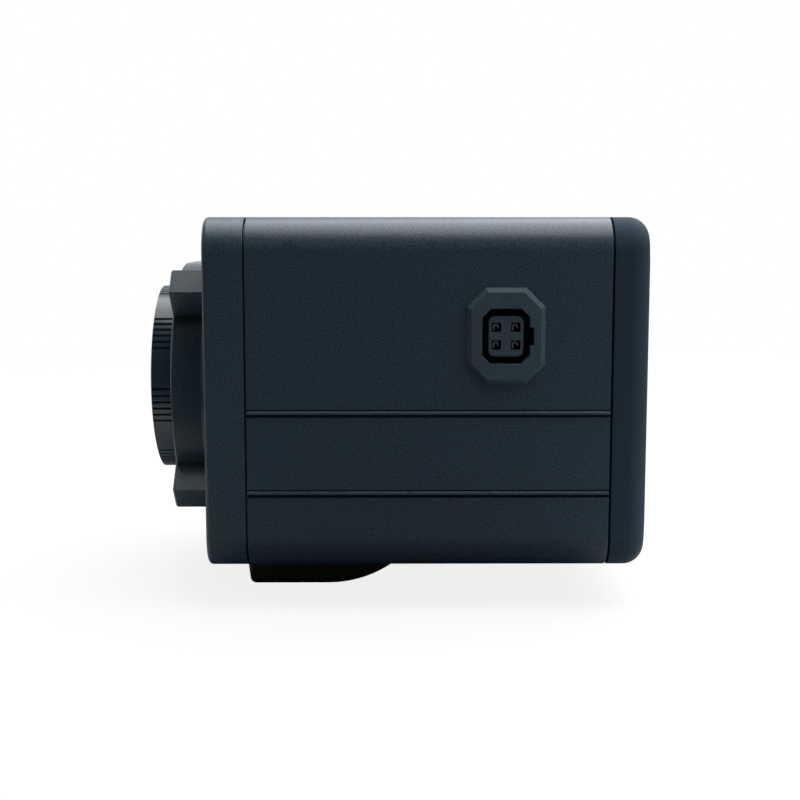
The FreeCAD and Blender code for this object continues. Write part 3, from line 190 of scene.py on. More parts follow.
plate = eased_form("front_plate", PLATE_EDGE)
plate_low, plate_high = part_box("front_plate")
plate_middle, plate_half = (plate_low + plate_high) / 2, (plate_high - plate_low) / 2
for vert in plate.verts:
    across = vert.co - plate_middle
    depth = vert.co.x - plate_low.x
    over_side = max(0, abs(across.y) - plate_half.y + PLATE_CORNER)
    over_rise = max(0, abs(across.z) - plate_half.z + PLATE_CORNER)
    reach = (over_side ** 2 + over_rise ** 2) ** 0.5
    inset = PLATE_CORNER - reach
    if max(depth, inset) < PLATE_ROUND + PLATE_TOUCH:
        grown = inset * (1 - PLATE_CRISP) / reach
        vert.co.x = plate_low.x + depth * PLATE_CRISP
        vert.co.y += over_side * grown if across.y > 0 else -over_side * grown
        vert.co.z += over_rise * grown if across.z > 0 else -over_rise * grown
stand_in(plate, "front_plate", "plate_casting", powder_coat("plate_coat", roughness=0.42))

# Lens-mount boss and its screws
# A dark moulding with an oval hub and four ears, screwed to the plate from inside through the ears. Its
# mould was fine-textured, so flat faces look grey in strong light and edges stay crisp.

BOSS_EDGE = 0.3 * MM
BOSS_COLOUR = (0.0260, 0.0450, 0.0590, 1)
EAR_TIP = Vector((19.4, 18.8)) * MM
EAR_TIP_REACH = 0.8 * MM
EAR_TIP_SHIFT = 1.5 * MM
STEEL_COLOUR = (0.42, 0.42, 0.42, 1)
MOULD_TONES = (0.85, 1.15)
MOULD_UNEVEN = (-0.05, 0.05)
LATHE_TONES = (0.85, 1.15)
LATHE_UNEVEN = (-0.06, 0.06)
LATHE_RELIEF = 0.004 * MM


def effect(name, inputs, outputs):
    """Start a shader node group with named inputs and outputs."""
    tree = bpy.data.node_groups.new(name, "ShaderNodeTree")
    for label, kind in inputs.items():
        tree.interface.new_socket(name=label, in_out="INPUT", socket_type=f"NodeSocket{kind}")
    for label, kind in outputs.items():
        tree.interface.new_socket(name=label, in_out="OUTPUT", socket_type=f"NodeSocket{kind}")
    return tree, tree.nodes.new("NodeGroupInput").outputs, tree.nodes.new("NodeGroupOutput").inputs


def worked_out(tree, operation, *values):
    """Work out a sum, a product, a comparison or the like of values that change over a surface."""
    return add(tree, "Math", dict(enumerate(values)), operation=operation)["Value"]


def mould_texture():
    """Fine grain that a mould's etched face leaves, and the slightly uneven sheen of cooled plastic."""
    tree, given, wanted = effect(
        "mould_texture",
        {"Base": "Color", "Sheen": "Float", "Grain": "Float"},
        {"Color": "Color", "Roughness": "Float", "Height": "Float"})
    place = add(tree, "TexCoord")["Object"]
    fine = add(tree, "TexNoise", {"Vector": place, "Scale": given["Grain"], "Detail": 2.0})["Fac"]
    broad = add(tree, "TexNoise", {"Vector": place, "Scale": 120.0, "Detail": 3.0})["Fac"]
    toned = shaded(tree, given["Base"], spread(tree, fine, *MOULD_TONES))
    uneven = worked_out(tree, "ADD", given["Sheen"], spread(tree, broad, *MOULD_UNEVEN))
    for socket, value in (("Color", toned), ("Roughness", uneven), ("Height", fine)):
        tree.links.new(value, wanted[socket])
    return tree


def lathe_marks():
    """Fine rings that a turning tool leaves round an axis, here the X axis of the given place."""
    tree, given, wanted = effect(
        "lathe_marks",
        {"Base": "Color", "Sheen": "Float", "Pitch": "Float", "Place": "Vector"},
        {"Color": "Color", "Roughness": "Float", "Height": "Float"})
    parts = add(tree, "SeparateXYZ", {"Vector": given["Place"]})
    across = add(tree, "CombineXYZ", {"Y": parts["Y"], "Z": parts["Z"]})["Vector"]
    radius = add(tree, "VectorMath", {0: across}, operation="LENGTH")["Value"]
    line = worked_out(tree, "DIVIDE", worked_out(tree, "ADD", parts["X"], radius), given["Pitch"])
    rings = add(tree, "TexNoise", {"W": line, "Scale": 1.0, "Detail": 3.0}, noise_dimensions="1D")["Fac"]
    toned = shaded(tree, given["Base"], spread(tree, rings, *LATHE_TONES))
    uneven = worked_out(tree, "ADD", given["Sheen"], spread(tree, rings, *LATHE_UNEVEN))
    for socket, value in (("Color", toned), ("Roughness", uneven), ("Height", rings)):
        tree.links.new(value, wanted[socket])
    return tree


def laid_on(tree, surface, made, depth, strength):
    """Link an effect's colour, roughness and height to a shader."""
    tree.links.new(made["Color"], surface["Base Color"])
    tree.links.new(made["Roughness"], surface["Roughness"])
    relief(tree, surface, made["Height"], depth, strength)


def moulded(name, colour, sheen, grain=2600.0, depth=0.008 * MM, specular=0.5):
    """A moulded plastic."""
    finish, tree, surface = start(name, {"Specular IOR Level": specular})
    made = add(tree, "Group", {"Base": colour, "Sheen": sheen, "Grain": grain}, node_tree=mould)
    laid_on(tree, surface, made, depth, strength=0.6)
    return finish


def turned(name, colour, sheen, pitch, metallic=1.0, centre=(0, 0, 0), axis="X", specular=0.5):
    """A lathe-turned metal, with marks round its own axis."""
    finish, tree, surface = start(name, {"Metallic": metallic, "Specular IOR Level": specular})
    place = add(tree, "TexCoord")["Object"]
    place = add(tree, "VectorMath", {0: place, 1: centre}, operation="SUBTRACT")["Vector"]
    if axis == "Z":
        upright = {"Vector": place, "Angle": radians(90)}
        place = add(tree, "VectorRotate", upright, rotation_type="Y_AXIS")["Vector"]
    marks = {"Base": colour, "Sheen": sheen, "Pitch": pitch, "Place": place}
    made = add(tree, "Group", marks, node_tree=lathe)
    laid_on(tree, surface, made, LATHE_RELIEF, strength=0.5)
    return finish


def dress(finish, *nodes):
    """Give CAD nodes a finish."""
    for node in nodes:
        frame["nodes"][node].material_slots[0].material = finish


mould = mould_texture()
lathe = lathe_marks()
boss_plastic = moulded("boss_plastic", BOSS_COLOUR, sheen=0.28, specular=0.2)
boss = eased_form("mount_boss", BOSS_EDGE)
boss_low, boss_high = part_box("mount_boss")
for vert in boss.verts:
    across = vert.co - (boss_low + boss_high) / 2
    if (Vector((abs(across.y), abs(across.z))) - EAR_TIP).length < EAR_TIP_REACH:
        vert.co.y += EAR_TIP_SHIFT if across.y > 0 else -EAR_TIP_SHIFT
stand_in(boss, "mount_boss", "boss_moulding", boss_plastic)
screw_steel = turned("screw_steel", STEEL_COLOUR, sheen=0.32, pitch=0.08 * MM)
dress(screw_steel, "boss_screws")

# Back-focus ring
# Turned from aluminium bar with a fine front bevel, grooved in eight groups of six and anodised black. It
# turns in the boss, held by its flange, and its fine inner thread drives the lens barrel along.

RING_EDGE = 0.05 * MM
RING_BEVEL = 0.5 * MM
RING_CRISP = 0.3
RING_COLOUR = (0.0210, 0.0420, 0.0600, 1)
ring_low, ring_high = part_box("back_focus_ring")
OPTICAL_AXIS = Vector((0, 0, (ring_low.z + ring_high.z) / 2))

ring_black = turned("ring_black", RING_COLOUR, sheen=0.21, pitch=0.06 * MM, metallic=0.0,
                    centre=OPTICAL_AXIS, specular=0.42)
ring = eased_form("back_focus_ring", RING_EDGE)
for vert in ring.verts:
    depth = vert.co.x - ring_low.x
    if depth < RING_BEVEL + RING_EDGE:
        vert.co.x = ring_low.x + depth * RING_CRISP
stand_in(ring, "back_focus_ring", "ring_turning", ring_black)

# Lens barrel
# A black anodised tube with a one-inch thread of 32 turns to the inch for the lens. Two flats at its rear
# run in the plate's keyed hole, so it slides and doesn't turn. The ridge is the cut thread itself.

BARREL_EDGE = 0.05 * MM
BARREL_COLOUR = (0.0075, 0.0078, 0.0082, 1)
INCH = 25.4 * MM
LENS_PITCH = INCH / 32
THREAD_STEPS = 120
THREAD_RUN_OUT = 40
THREAD_START = 0.5
THREAD_ROOT = 0.03 * MM
THREAD_DEPTH = 0.54
THREAD_FOOT = 0.44
THREAD_CREST = 0.07


def thread_ridge(name, place, radius, pitch, length, body, finish):
    """Wind the ridge of an inner thread up the wall of a bore, whose axis is the place's Z axis."""
    form = bmesh.new()
    steps = int((length / pitch - 2 * THREAD_START) * THREAD_STEPS)
    rows = []
    for step in range(steps + 1):
        turn = tau * step / THREAD_STEPS
        rise = pitch * (THREAD_START + step / THREAD_STEPS)
        height = THREAD_DEPTH * pitch * min(1, step / THREAD_RUN_OUT, (steps - step) / THREAD_RUN_OUT)
        profile = ((-THREAD_ROOT, -THREAD_FOOT), (height, -THREAD_CREST),
                   (height, THREAD_CREST), (-THREAD_ROOT, THREAD_FOOT))
        row = []
        for inward, along in profile:
            reach = radius - inward
            spot = Vector((reach * cos(turn), reach * sin(turn), rise + along * pitch))
            row.append(form.verts.new(place @ spot))
        rows.append(row)
    for low, high in zip(rows, rows[1:]):
        for corner in range(4):
            beside = (corner + 1) % 4
            form.faces.new((low[corner], high[corner], high[beside], low[beside]))
    form.faces.new(rows[0])
    form.faces.new(reversed(rows[-1]))
    bmesh.ops.recalc_face_normals(form, faces=form.faces)
    shown(form, name, body, finish)


mounts = {mount["name"]: mount for mount in frame["record"]["mounts"]}
barrel_black = turned("barrel_black", BARREL_COLOUR, sheen=0.5, pitch=0.09 * MM, metallic=0.0,
                      centre=OPTICAL_AXIS)
eased("mount_barrel", "barrel_turning", BARREL_EDGE, barrel_black)
lens_bore = mounts["lens_thread"]
lens_length = lens_bore["dims"]["length_mm"] * MM
lens_start = Vector(lens_bore["pos_m"]) - Vector((lens_length / 2, 0, 0))
along_x = Matrix.Translation(lens_start) @ Matrix.Rotation(radians(90), 4, "Y")
thread_ridge("lens_thread_ridge", along_x, lens_bore["dims"]["r_mm"] * MM, LENS_PITCH, lens_length,
             "mount_barrel", barrel_black)

# Day and night filter changer
# A small black moulding behind the barrel, with a slider that carries an infrared-cut pane and a clear
# one. A coil below the channel shifts the slider by one pane.

FILTER_COLOUR = (0.010, 0.010, 0.011, 1)
COIL_COLOUR = (0.016, 0.014, 0.013, 1)
CLEAR_TINT = (0.93, 0.97, 0.96, 1)
CLEAR_FILM = (0.86, 0.92, 0.98, 1)
INFRARED_TINT = (0.55, 0.86, 0.90, 1)
INFRARED_FILM = (0.75, 0.62, 0.86, 1)
FILM_SHARE = (0.0, 0.35)


def coated_glass(name, tint, film):
    """Optical glass with a thin, slightly uneven film of a coloured coating."""
    finish, tree, surface = start(name, {"Roughness": 0.02, "Transmission Weight": 1.0, "IOR": 1.5})
    place = add(tree, "TexCoord")["Object"]
    cloud = add(tree, "TexNoise", {"Vector": place, "Scale": 300.0, "Detail": 2.0})["Fac"]
    coated = blended(tree, spread(tree, cloud, *FILM_SHARE), tint, film)
    tree.links.new(coated, surface["Base Color"])
    return finish


filter_plastic = moulded("filter_plastic", FILTER_COLOUR, sheen=0.6)
dress(filter_plastic, "filter_base", "filter_slider")
dress(moulded("coil_block", COIL_COLOUR, sheen=0.45), "filter_coil")
dress(coated_glass("clear_pane", CLEAR_TINT, CLEAR_FILM), "clear_glass", "sensor_window")
dress(coated_glass("infrared_pane", INFRARED_TINT, INFRARED_FILM), "infrared_glass")

# Image sensor
# A dark ceramic package with a cover glass. The light-sensitive field in its middle is a smooth silicon
# die, inside a frame with gold bond pads.

SENSOR_FIELD = (3.6 * MM, 2.7 * MM)
SENSOR_RIM = (4.5 * MM, 3.6 * MM)
DIE_COLOUR = (0.030, 0.022, 0.052, 1)
DIE_SHEEN = 0.12
CERAMIC_COLOUR = (0.055, 0.060, 0.075, 1)
CERAMIC_SHEEN = 0.5
PAD_GOLD = (0.55, 0.38, 0.12, 1)
PAD_PITCH = 0.5 * MM
PAD_SHARE = 0.5


def inside_field(tree, parts, half_side, half_rise):
    """Return 1 inside an upright rectangle about the optical axis and 0 outside it."""
    side = worked_out(tree, "ABSOLUTE", parts["Y"])
    rise = worked_out(tree, "ABSOLUTE", worked_out(tree, "SUBTRACT", parts["Z"], OPTICAL_AXIS.z))
    in_side = worked_out(tree, "LESS_THAN", side, half_side)
    in_rise = worked_out(tree, "LESS_THAN", rise, half_rise)
    return worked_out(tree, "MULTIPLY", in_side, in_rise)


def sensor_face():
    """A smooth die inside a ceramic frame, with gold pads round it."""
    finish, tree, surface = start("sensor_face", {"Specular IOR Level": 0.6})
    parts = add(tree, "SeparateXYZ", {"Vector": add(tree, "TexCoord")["Object"]})
    die = inside_field(tree, parts, *SENSOR_FIELD)
    rim = inside_field(tree, parts, *SENSOR_RIM)
    step = worked_out(tree, "FRACT", worked_out(tree, "DIVIDE", parts["Y"], PAD_PITCH))
    pads = worked_out(tree, "MULTIPLY", rim, worked_out(tree, "LESS_THAN", step, PAD_SHARE))
    package = blended(tree, pads, CERAMIC_COLOUR, PAD_GOLD)
    tree.links.new(blended(tree, die, package, DIE_COLOUR), surface["Base Color"])
    tree.links.new(spread(tree, die, CERAMIC_SHEEN, DIE_SHEEN, 0, 1), surface["Roughness"])
    return finish


dress(sensor_face(), "image_sensor")

# Circuit boards and their chips
# Three glass-fibre boards under green solder mask with copper tracks showing through. Moulded chips, a
# board-to-board link and a flat ribbon join them.

MASK_COLOUR = (0.008, 0.070, 0.032, 1)
TRACK_COLOUR = (0.020, 0.130, 0.060, 1)
TRACK_SCALE = 700.0
TRACK_EDGE = (0.28, 0.36)
TRACK_RELIEF = 0.03 * MM
CHIP_COLOUR = (0.014, 0.014, 0.015, 1)
RIBBON_COLOUR = (0.66, 0.66, 0.63, 1)
WIRE_COLOUR = (0.35, 0.36, 0.37, 1)
WIRE_PITCH = 0.5 * MM
WIRE_EDGE = (0.45, 0.6)
WIRE_RELIEF = 0.05 * MM


def solder_mask():
    """Green lacquer over copper tracks, which show as paler, slightly raised paths."""
    finish, tree, surface = start("solder_mask", {"Roughness": 0.3})
    place = add(tree, "TexCoord")["Object"]
    paths = add(tree, "TexVoronoi", {"Vector": place, "Scale": TRACK_SCALE}, distance="MANHATTAN",
                feature="F1")["Distance"]
    tracks = spread(tree, paths, 1.0, 0.0, *TRACK_EDGE)
    tree.links.new(blended(tree, tracks, MASK_COLOUR, TRACK_COLOUR), surface["Base Color"])
    relief(tree, surface, tracks, TRACK_RELIEF, strength=0.5)
    return finish


def ribbon_wires():
    """White film over parallel wires."""
    finish, tree, surface = start("ribbon_film", {"Roughness": 0.45})
    parts = add(tree, "SeparateXYZ", {"Vector": add(tree, "TexCoord")["Object"]})
    row = worked_out(tree, "DIVIDE", parts["Y"], WIRE_PITCH)
    wires = worked_out(tree, "PINGPONG", row, 1.0)
    film = blended(tree, spread(tree, wires, 0, 1, *WIRE_EDGE), RIBBON_COLOUR, WIRE_COLOUR)
    tree.links.new(film, surface["Base Color"])
    relief(tree, surface, wires, WIRE_RELIEF, strength=0.6)
    return finish


dress(solder_mask(), "sensor_board", "main_board", "connector_board")
chip_black = moulded("chip_black", CHIP_COLOUR, sheen=0.5)
dress(chip_black, "processor", "memory_chips", "board_link", "reset_switch")
dress(ribbon_wires(), "ribbon_cable")
dress(moulded("ribbon_socket", RIBBON_COLOUR, sheen=0.45), "ribbon_sockets")

# Spacers and board screws
# Hexagonal brass spacers with a stud in front and a tapped hole behind hold the boards apart, and four
# bright screws close the stack.

BRASS_COLOUR = (0.60, 0.45, 0.18, 1)

spacer_brass = turned("spacer_brass", BRASS_COLOUR, sheen=0.3, pitch=0.1 * MM)
dress(spacer_brass, "front_spacers", "rear_spacers")
dress(screw_steel, "board_screws")

# Rear connectors
# A shielded network jack with gilt contacts, a power jack, two audio jacks and the reset button stand on
# the connector board with their noses in the rear cover. Clear pipes lead the status lamps' light out.

JACK_EDGE = 0.08 * MM
JACK_COLOUR = (0.011, 0.011, 0.012, 1)
SHIELD_SHEET = 0.5 * MM
SHIELD_COLOUR = (0.50, 0.50, 0.49)
SHIELD_TONES = (0.85, 1.1)
SHIELD_SHEEN = 0.32
INSERT_SHEEN = 0.5
GILT_COLOUR = (0.72, 0.52, 0.20, 1)
NICKEL_COLOUR = (0.62, 0.61, 0.58, 1)
BUTTON_COLOUR = (0.018, 0.018, 0.019, 1)
LAMP_COLOUR = (0.70, 0.78, 0.74)
LAMP_TONES = (0.92, 1.0)
LAMP_HAZE = (0.2, 0.26)


def jack_shell():
    """Tinned sheet folded round a black moulded insert, which shows inside the shield's edge."""
    finish, tree, surface = start("jack_shell", {})
    low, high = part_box("ethernet_jack")
    place = add(tree, "TexCoord")["Object"]
    moved = add(tree, "VectorMath", {0: place, 1: (low + high) / 2}, operation="SUBTRACT")["Vector"]
    parts = add(tree, "SeparateXYZ", {"Vector": moved})
    insert = 1.0
    for axis, reach in (("Y", (high.y - low.y) / 2), ("Z", (high.z - low.z) / 2)):
        across = worked_out(tree, "ABSOLUTE", parts[axis])
        within = worked_out(tree, "LESS_THAN", across, reach - SHIELD_SHEET)
        insert = worked_out(tree, "MULTIPLY", within, insert)
    cloud = add(tree, "TexNoise", {"Vector": place, "Scale": 700.0, "Detail": 3.0})["Fac"]
    sheet = shaded(tree, SHIELD_COLOUR, spread(tree, cloud, *SHIELD_TONES))
    tree.links.new(blended(tree, insert, sheet, JACK_COLOUR), surface["Base Color"])
    tree.links.new(spread(tree, insert, 1.0, 0.0, 0, 1), surface["Metallic"])
    tree.links.new(spread(tree, insert, SHIELD_SHEEN, INSERT_SHEEN, 0, 1), surface["Roughness"])
    return finish


def light_pipe():
    """Clear plastic with a slight haze in it."""
    finish, tree, surface = start("light_pipe", {"Transmission Weight": 0.85, "IOR": 1.49})
    place = add(tree, "TexCoord")["Object"]
    haze = add(tree, "TexNoise", {"Vector": place, "Scale": 400.0})["Fac"]
    tree.links.new(spread(tree, haze, *LAMP_HAZE), surface["Roughness"])
    tree.links.new(shaded(tree, LAMP_COLOUR, spread(tree, haze, *LAMP_TONES)), surface["Base Color"])
    return finish


jack_plastic = moulded("jack_plastic", JACK_COLOUR, sheen=0.35)
gilt = turned("contact_gilt", GILT_COLOUR, sheen=0.22, pitch=0.2 * MM)
nickel = turned("pin_nickel", NICKEL_COLOUR, sheen=0.2, pitch=0.1 * MM)
eased("ethernet_jack", "network_shell", JACK_EDGE, jack_shell())
eased("power_jack", "power_shell", JACK_EDGE, jack_plastic)
eased("audio_in_jack", "audio_in_shell", JACK_EDGE, jack_plastic)
eased("audio_out_jack", "audio_out_shell", JACK_EDGE, jack_plastic)
dress(gilt, "ethernet_contacts")
dress(nickel, "power_pin")
eased("reset_button", "button_moulding", JACK_EDGE, moulded("button_plastic", BUTTON_COLOUR, sheen=0.3))
dress(light_pipe(), "light_pipes", "status_lamps")

# Rear cover and its screws
# A moulded cover with a smooth satin face and a generous rear edge. It closes the sleeve's back and four
# black screws hold it, sunk in its corners.

COVER_EDGE = 0.12 * MM
COVER_COLOUR = (0.0214, 0.0388, 0.0560, 1)
REAR_SCREW_EDGE = 0.1 * MM
BLACK_ZINC = (0.030, 0.030, 0.032, 1)

cover_plastic = moulded("cover_plastic", COVER_COLOUR, sheen=0.6, grain=4200.0, depth=0.004 * MM,
                        specular=0.06)
eased("rear_cover", "cover_moulding", COVER_EDGE, cover_plastic)
screw_black = turned("screw_black", BLACK_ZINC, sheen=0.38, pitch=0.08 * MM, metallic=0.6)
eased("rear_screws", "rear_screw_set", REAR_SCREW_EDGE, screw_black)

# Body sleeve and front screws
# An aluminium extrusion under the same coat as the plate, which holds both ends together. Along each side
# it has two beads, each a rib over a narrow groove, and in its corners screw ports.

SLEEVE_EDGE = 0.12 * MM
SLEEVE_SHARP = radians(60)
FRONT_SCREW_EDGE = 0.08 * MM
SIDE_FACE = 30.0 * MM
SIDE_DEPTH = 0.2 * MM
BEAD_TOPS = (31.28 * MM, 18.94 * MM)
BEAD_WIDTH = 1.1 * MM
BEAD_RISE = 0.4 * MM
BEAD_RADIUS = (BEAD_WIDTH ** 2 / 4 + BEAD_RISE ** 2) / (2 * BEAD_RISE)
BEAD_ABOVE = 0.07 * MM
BEAD_BELOW = 0.01 * MM
BEAD_STEPS = [(-0.06, 0.0), (-0.03, -0.5), (0.1, -0.5), (0.15, 0.1), (0.48, 0.26), (0.64, 0.22),
              (0.69, -0.8), (1.06, -0.8), (1.1, 0.0)]


def bead_line(below):
    """How far the finished bead stands out at a distance below its upper edge, by steps in millimetres."""
    for (high, out), (low, next_out) in zip(BEAD_STEPS, BEAD_STEPS[1:]):
        if below <= low * MM:
            return (out + (next_out - out) * (below / MM - high) / (low - high)) * MM
    return 0.0


def bead_arc(below):
    """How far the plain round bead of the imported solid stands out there."""
    across = min(abs(below - BEAD_WIDTH / 2), BEAD_WIDTH / 2)
    return (BEAD_RADIUS ** 2 - across ** 2) ** 0.5 - BEAD_RADIUS + BEAD_RISE


sleeve = eased_form("body_sleeve", SLEEVE_EDGE, SLEEVE_SHARP)
for top in BEAD_TOPS:
    for below, _ in BEAD_STEPS:
        everything = sleeve.verts[:] + sleeve.edges[:] + sleeve.faces[:]
        bmesh.ops.bisect_plane(sleeve, geom=everything, dist=WELD, plane_co=(0, 0, top - below * MM),
                               plane_no=(0, 0, 1))
    for vert in sleeve.verts:
        below = top - vert.co.z
        on_side = abs(vert.co.y) > SIDE_FACE - SIDE_DEPTH
        if on_side and -BEAD_ABOVE < below < BEAD_WIDTH + BEAD_BELOW:
            shift = bead_line(below) - bead_arc(below)
            vert.co.y += shift if vert.co.y > 0 else -shift
bmesh.ops.remove_doubles(sleeve, verts=sleeve.verts, dist=WELD)
stand_in(sleeve, "body_sleeve", "sleeve_extrusion", powder_coat("sleeve_coat", roughness=0.38))
eased("front_screws", "front_screw_set", FRONT_SCREW_EDGE, screw_black)

# Auto-iris socket
# A dark moulded socket that snaps into the sleeve's side, with a bevelled eight-sided flange. A core with
# four square holes stands in it, each with a folded spring contact.

BEZEL_EDGE = 0.09 * MM
CORE_EDGE = 0.06 * MM
SOCKET_COLOUR = (0.0430, 0.0705, 0.0880, 1)
SPRING_SIZE = 1.0 * MM
SPRING_DEPTH = 0.25 * MM
SPRING_ARCH = [(0.1, 0), (0.24, 0), (0.24, 0.62), (0.40, 0.78), (0.60, 0.78), (0.76, 0.62),
               (0.76, 0.3), (0.9, 0.3), (0.9, 0.72), (0.68, 0.92), (0.32, 0.92), (0.1, 0.72)]
TIN_COLOUR = (0.60, 0.61, 0.61, 1)

socket_plastic = moulded("socket_plastic", SOCKET_COLOUR, sheen=0.5, grain=2200.0, depth=0.012 * MM,
                         specular=0.12)
eased("iris_bezel", "bezel_moulding", BEZEL_EDGE, socket_plastic)
eased("iris_core", "core_moulding", CORE_EDGE, socket_plastic)
springs = bmesh.new()
spring_low, spring_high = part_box("iris_contacts")
spring_front = spring_low.y + SPRING_DEPTH
spring_length = spring_high.y - spring_low.y - SPRING_DEPTH
for side in (spring_low.x, spring_high.x - SPRING_SIZE):
    for rise in (spring_low.z, spring_high.z - SPRING_SIZE):
        arch = []
        for across, up in SPRING_ARCH:
            arch.append(springs.verts.new((side + across * MM, spring_front, rise + up * MM)))
        front = springs.faces.new(arch)
        drawn = bmesh.ops.extrude_face_region(springs, geom=[front])["geom"]
        far_end = [part for part in drawn if isinstance(part, bmesh.types.BMVert)]
        bmesh.ops.translate(springs, vec=(0, spring_length, 0), verts=far_end)
bmesh.ops.recalc_face_normals(springs, faces=springs.faces)
spring_tin = turned("spring_tin", TIN_COLOUR, sheen=0.35, pitch=0.2 * MM)
spring_set = shown(springs, "iris_springs", "housing", spring_tin)
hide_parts("iris_contacts")

# Tripod pad, insert and screws
# A black moulding under the body, screwed to the sleeve from below. It holds a turned brass insert with
# the quarter-inch thread of 20 turns to the inch for a tripod or bracket.

PAD_EDGE = 0.15 * MM
PAD_COLOUR = (0.004, 0.005, 0.006, 1)
PAD_SCREW_EDGE = 0.08 * MM
TRIPOD_PITCH = INCH / 20

eased("tripod_pad", "pad_moulding", PAD_EDGE, moulded("pad_plastic", PAD_COLOUR, sheen=0.5))
insert_brass = turned("insert_brass", BRASS_COLOUR, sheen=0.3, pitch=0.1 * MM, axis="Z")
dress(insert_brass, "tripod_insert")
tripod_bore = mounts["tripod_thread"]
thread_ridge("tripod_thread_ridge", Matrix.Translation(Vector(tripod_bore["pos_m"])),
             tripod_bore["dims"]["r_mm"] * MM, TRIPOD_PITCH, tripod_bore["dims"]["length_mm"] * MM,
             "housing", insert_brass)
eased("pad_screws", "pad_screw_set", PAD_SCREW_EDGE, screw_black)

# Studio
# A white table and backdrop, a wide soft light overhead, weaker ones at the front right and before the
# lens mount, and a camera at the socket side. Under the body the table is painted dark to bounced and
# reflected light, a painted shadow, so only its two ends light the body from below.

FLOOR_SIDE = 3.0
FLOOR_GAP = 0.02 * MM
FLOOR_CORNERS = [(-1, -1), (1, -1), (1, 1), (-1, 1)]
TABLE_TONE = 0.8
# Tone of the table away from its ends, to bounced and reflected light: a painted shadow under the body.
PAINTED_SHADOW_TONE = 0.1
TABLE_GLOW = 0.85
SHADOW_REACH = (0.10, 0.45)
TABLE_ENDS = ((-0.06, -0.03, 0), (0.095, -0.03, 0))
END_REACH = (0.035, 0.05)
ROOM_LEVEL = 0.05
ROOM_SIDE = (0.0, 0.3)
BACKDROP_LEVEL = 0.5
BACKDROP_SIDE = (0.0, 0.7)
KEY_PLACE = (0.17, 0.06, 0.48)
KEY_SIZE = (0.70, 0.74)
KEY_LEVEL = 4.3
RIGHT_PLACE = (0.43, -0.36, 0.24)
RIGHT_SIZE = (0.40, 0.40)
RIGHT_LEVEL = 1.4
LEFT_PLACE = (-0.50, -0.02, 0.20)
LEFT_SIZE = (0.40, 0.40)
LEFT_LEVEL = 0.5
LIGHT_AIM = Vector((0.02, 0, 0.035))
CAMERA_PLACE = Vector((0.01558, -0.23629, 0.05942))
CAMERA_YAW = radians(0.331)
CAMERA_PITCH = radians(7.332)
CAMERA_LENS = 61.84
CAMERA_NEAR = 0.01

form = bmesh.new()
form.faces.new([form.verts.new((side * FLOOR_SIDE, depth * FLOOR_SIDE, -FLOOR_GAP))
                for side, depth in FLOOR_CORNERS])
floor_mesh = bpy.data.meshes.new("floor")
form.to_mesh(floor_mesh)
form.free()
floor = bpy.data.objects.new("floor", floor_mesh)
bpy.context.scene.collection.objects.link(floor)


def seen(tree, direct, mirrored):
    """Return how white the background is to the camera, also through glass, and to metal and gloss."""
    path = add(tree, "LightPath")
    straight = worked_out(tree, "MAXIMUM", path["Is Camera Ray"], path["Is Transmission Ray"])
    in_gloss = worked_out(tree, "MULTIPLY", path["Is Glossy Ray"], mirrored)
    in_view = worked_out(tree, "MULTIPLY", straight, direct)
    return worked_out(tree, "MAXIMUM", in_view, in_gloss)


table = bpy.data.materials.new("white_table")
table.use_nodes = True
tree = table.node_tree
tree.nodes.remove(tree.nodes["Principled BSDF"])
place = add(tree, "TexCoord")["Object"]
away = add(tree, "VectorMath", {0: place}, operation="LENGTH")["Value"]
heading = add(tree, "VectorMath", {0: place}, operation="NORMALIZE")["Vector"]
back = add(tree, "SeparateXYZ", {"Vector": heading})["Y"]
behind = spread(tree, back, 0.0, 1.0, *ROOM_SIDE)
behind = worked_out(tree, "MULTIPLY", spread(tree, away, 0.0, 1.0, *SHADOW_REACH), behind)
share = seen(tree, spread(tree, away, TABLE_GLOW, 1.0, *SHADOW_REACH), behind)
paper_and_painted_shadow_tone = worked_out(tree, "MULTIPLY", add(tree, "LightPath")["Is Camera Ray"], TABLE_TONE)
# Away from its two ends the table is painted dark to bounced and reflected light, a painted shadow under
# the body; the camera still sees white paper with its real shadow.
for end in TABLE_ENDS:
    beyond = add(tree, "VectorMath", {0: place, 1: end}, operation="DISTANCE")["Value"]
    end_or_painted_shadow_tone = spread(tree, beyond, TABLE_TONE, PAINTED_SHADOW_TONE, *END_REACH)
    paper_and_painted_shadow_tone = worked_out(tree, "MAXIMUM", paper_and_painted_shadow_tone, end_or_painted_shadow_tone)
paper = add(tree, "BsdfDiffuse", {"Color": paper_and_painted_shadow_tone})["BSDF"]
glow = add(tree, "Emission", {"Strength": 1.0})["Emission"]
lit = add(tree, "MixShader", {0: share, 1: paper, 2: glow})["Shader"]
below = add(tree, "NewGeometry")["Backfacing"]
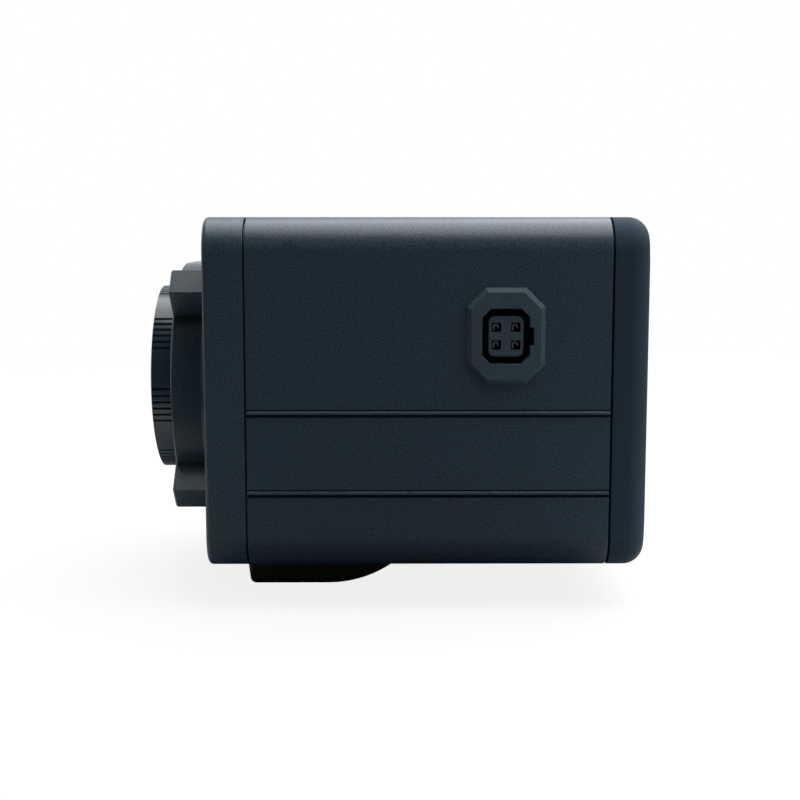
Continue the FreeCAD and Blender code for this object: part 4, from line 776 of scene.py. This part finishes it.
clear = add(tree, "BsdfTransparent")["BSDF"]
open_below = add(tree, "MixShader", {0: below, 1: lit, 2: clear})["Shader"]
tree.links.new(open_below, tree.nodes["Material Output"].inputs["Surface"])
floor_mesh.materials.append(table)

world = bpy.data.worlds.new("studio")
bpy.context.scene.world = world
world.use_nodes = True
tree = world.node_tree
back = add(tree, "SeparateXYZ", {"Vector": add(tree, "TexCoord")["Generated"]})["Y"]
dome = spread(tree, back, ROOM_LEVEL, BACKDROP_LEVEL, *BACKDROP_SIDE)
white = seen(tree, 1.0, spread(tree, back, 0.0, 1.0, *ROOM_SIDE))
level = worked_out(tree, "MAXIMUM", dome, white)
tree.links.new(level, tree.nodes["Background"].inputs["Strength"])
tree.nodes["Background"].inputs["Color"].default_value = (1, 1, 1, 1)


def softbox(name, place, size, level):
    """A rectangular soft light aimed at the body, as bright as the level, where a white paper is 1."""
    light = bpy.data.lights.new(name, "AREA")
    light.shape = "RECTANGLE"
    light.size, light.size_y = size
    light.energy = level * size[0] * size[1] * pi
    stand = bpy.data.objects.new(name, light)
    stand.location = place
    stand.rotation_euler = (LIGHT_AIM - Vector(place)).to_track_quat("-Z", "Y").to_euler()
    bpy.context.scene.collection.objects.link(stand)


softbox("overhead_softbox", KEY_PLACE, KEY_SIZE, KEY_LEVEL)
softbox("right_softbox", RIGHT_PLACE, RIGHT_SIZE, RIGHT_LEVEL)
softbox("left_softbox", LEFT_PLACE, LEFT_SIZE, LEFT_LEVEL)

lens = bpy.data.cameras.new("camera")
lens.lens = CAMERA_LENS
lens.clip_start = CAMERA_NEAR
camera = bpy.data.objects.new("camera", lens)
look = Vector((sin(CAMERA_YAW) * cos(CAMERA_PITCH), cos(CAMERA_YAW) * cos(CAMERA_PITCH),
               -sin(CAMERA_PITCH)))
camera.location = CAMERA_PLACE
camera.rotation_euler = look.to_track_quat("-Z", "Y").to_euler()
bpy.context.scene.collection.objects.link(camera)
bpy.context.scene.camera = camera
bpy.context.scene.view_settings.view_transform = "Standard"
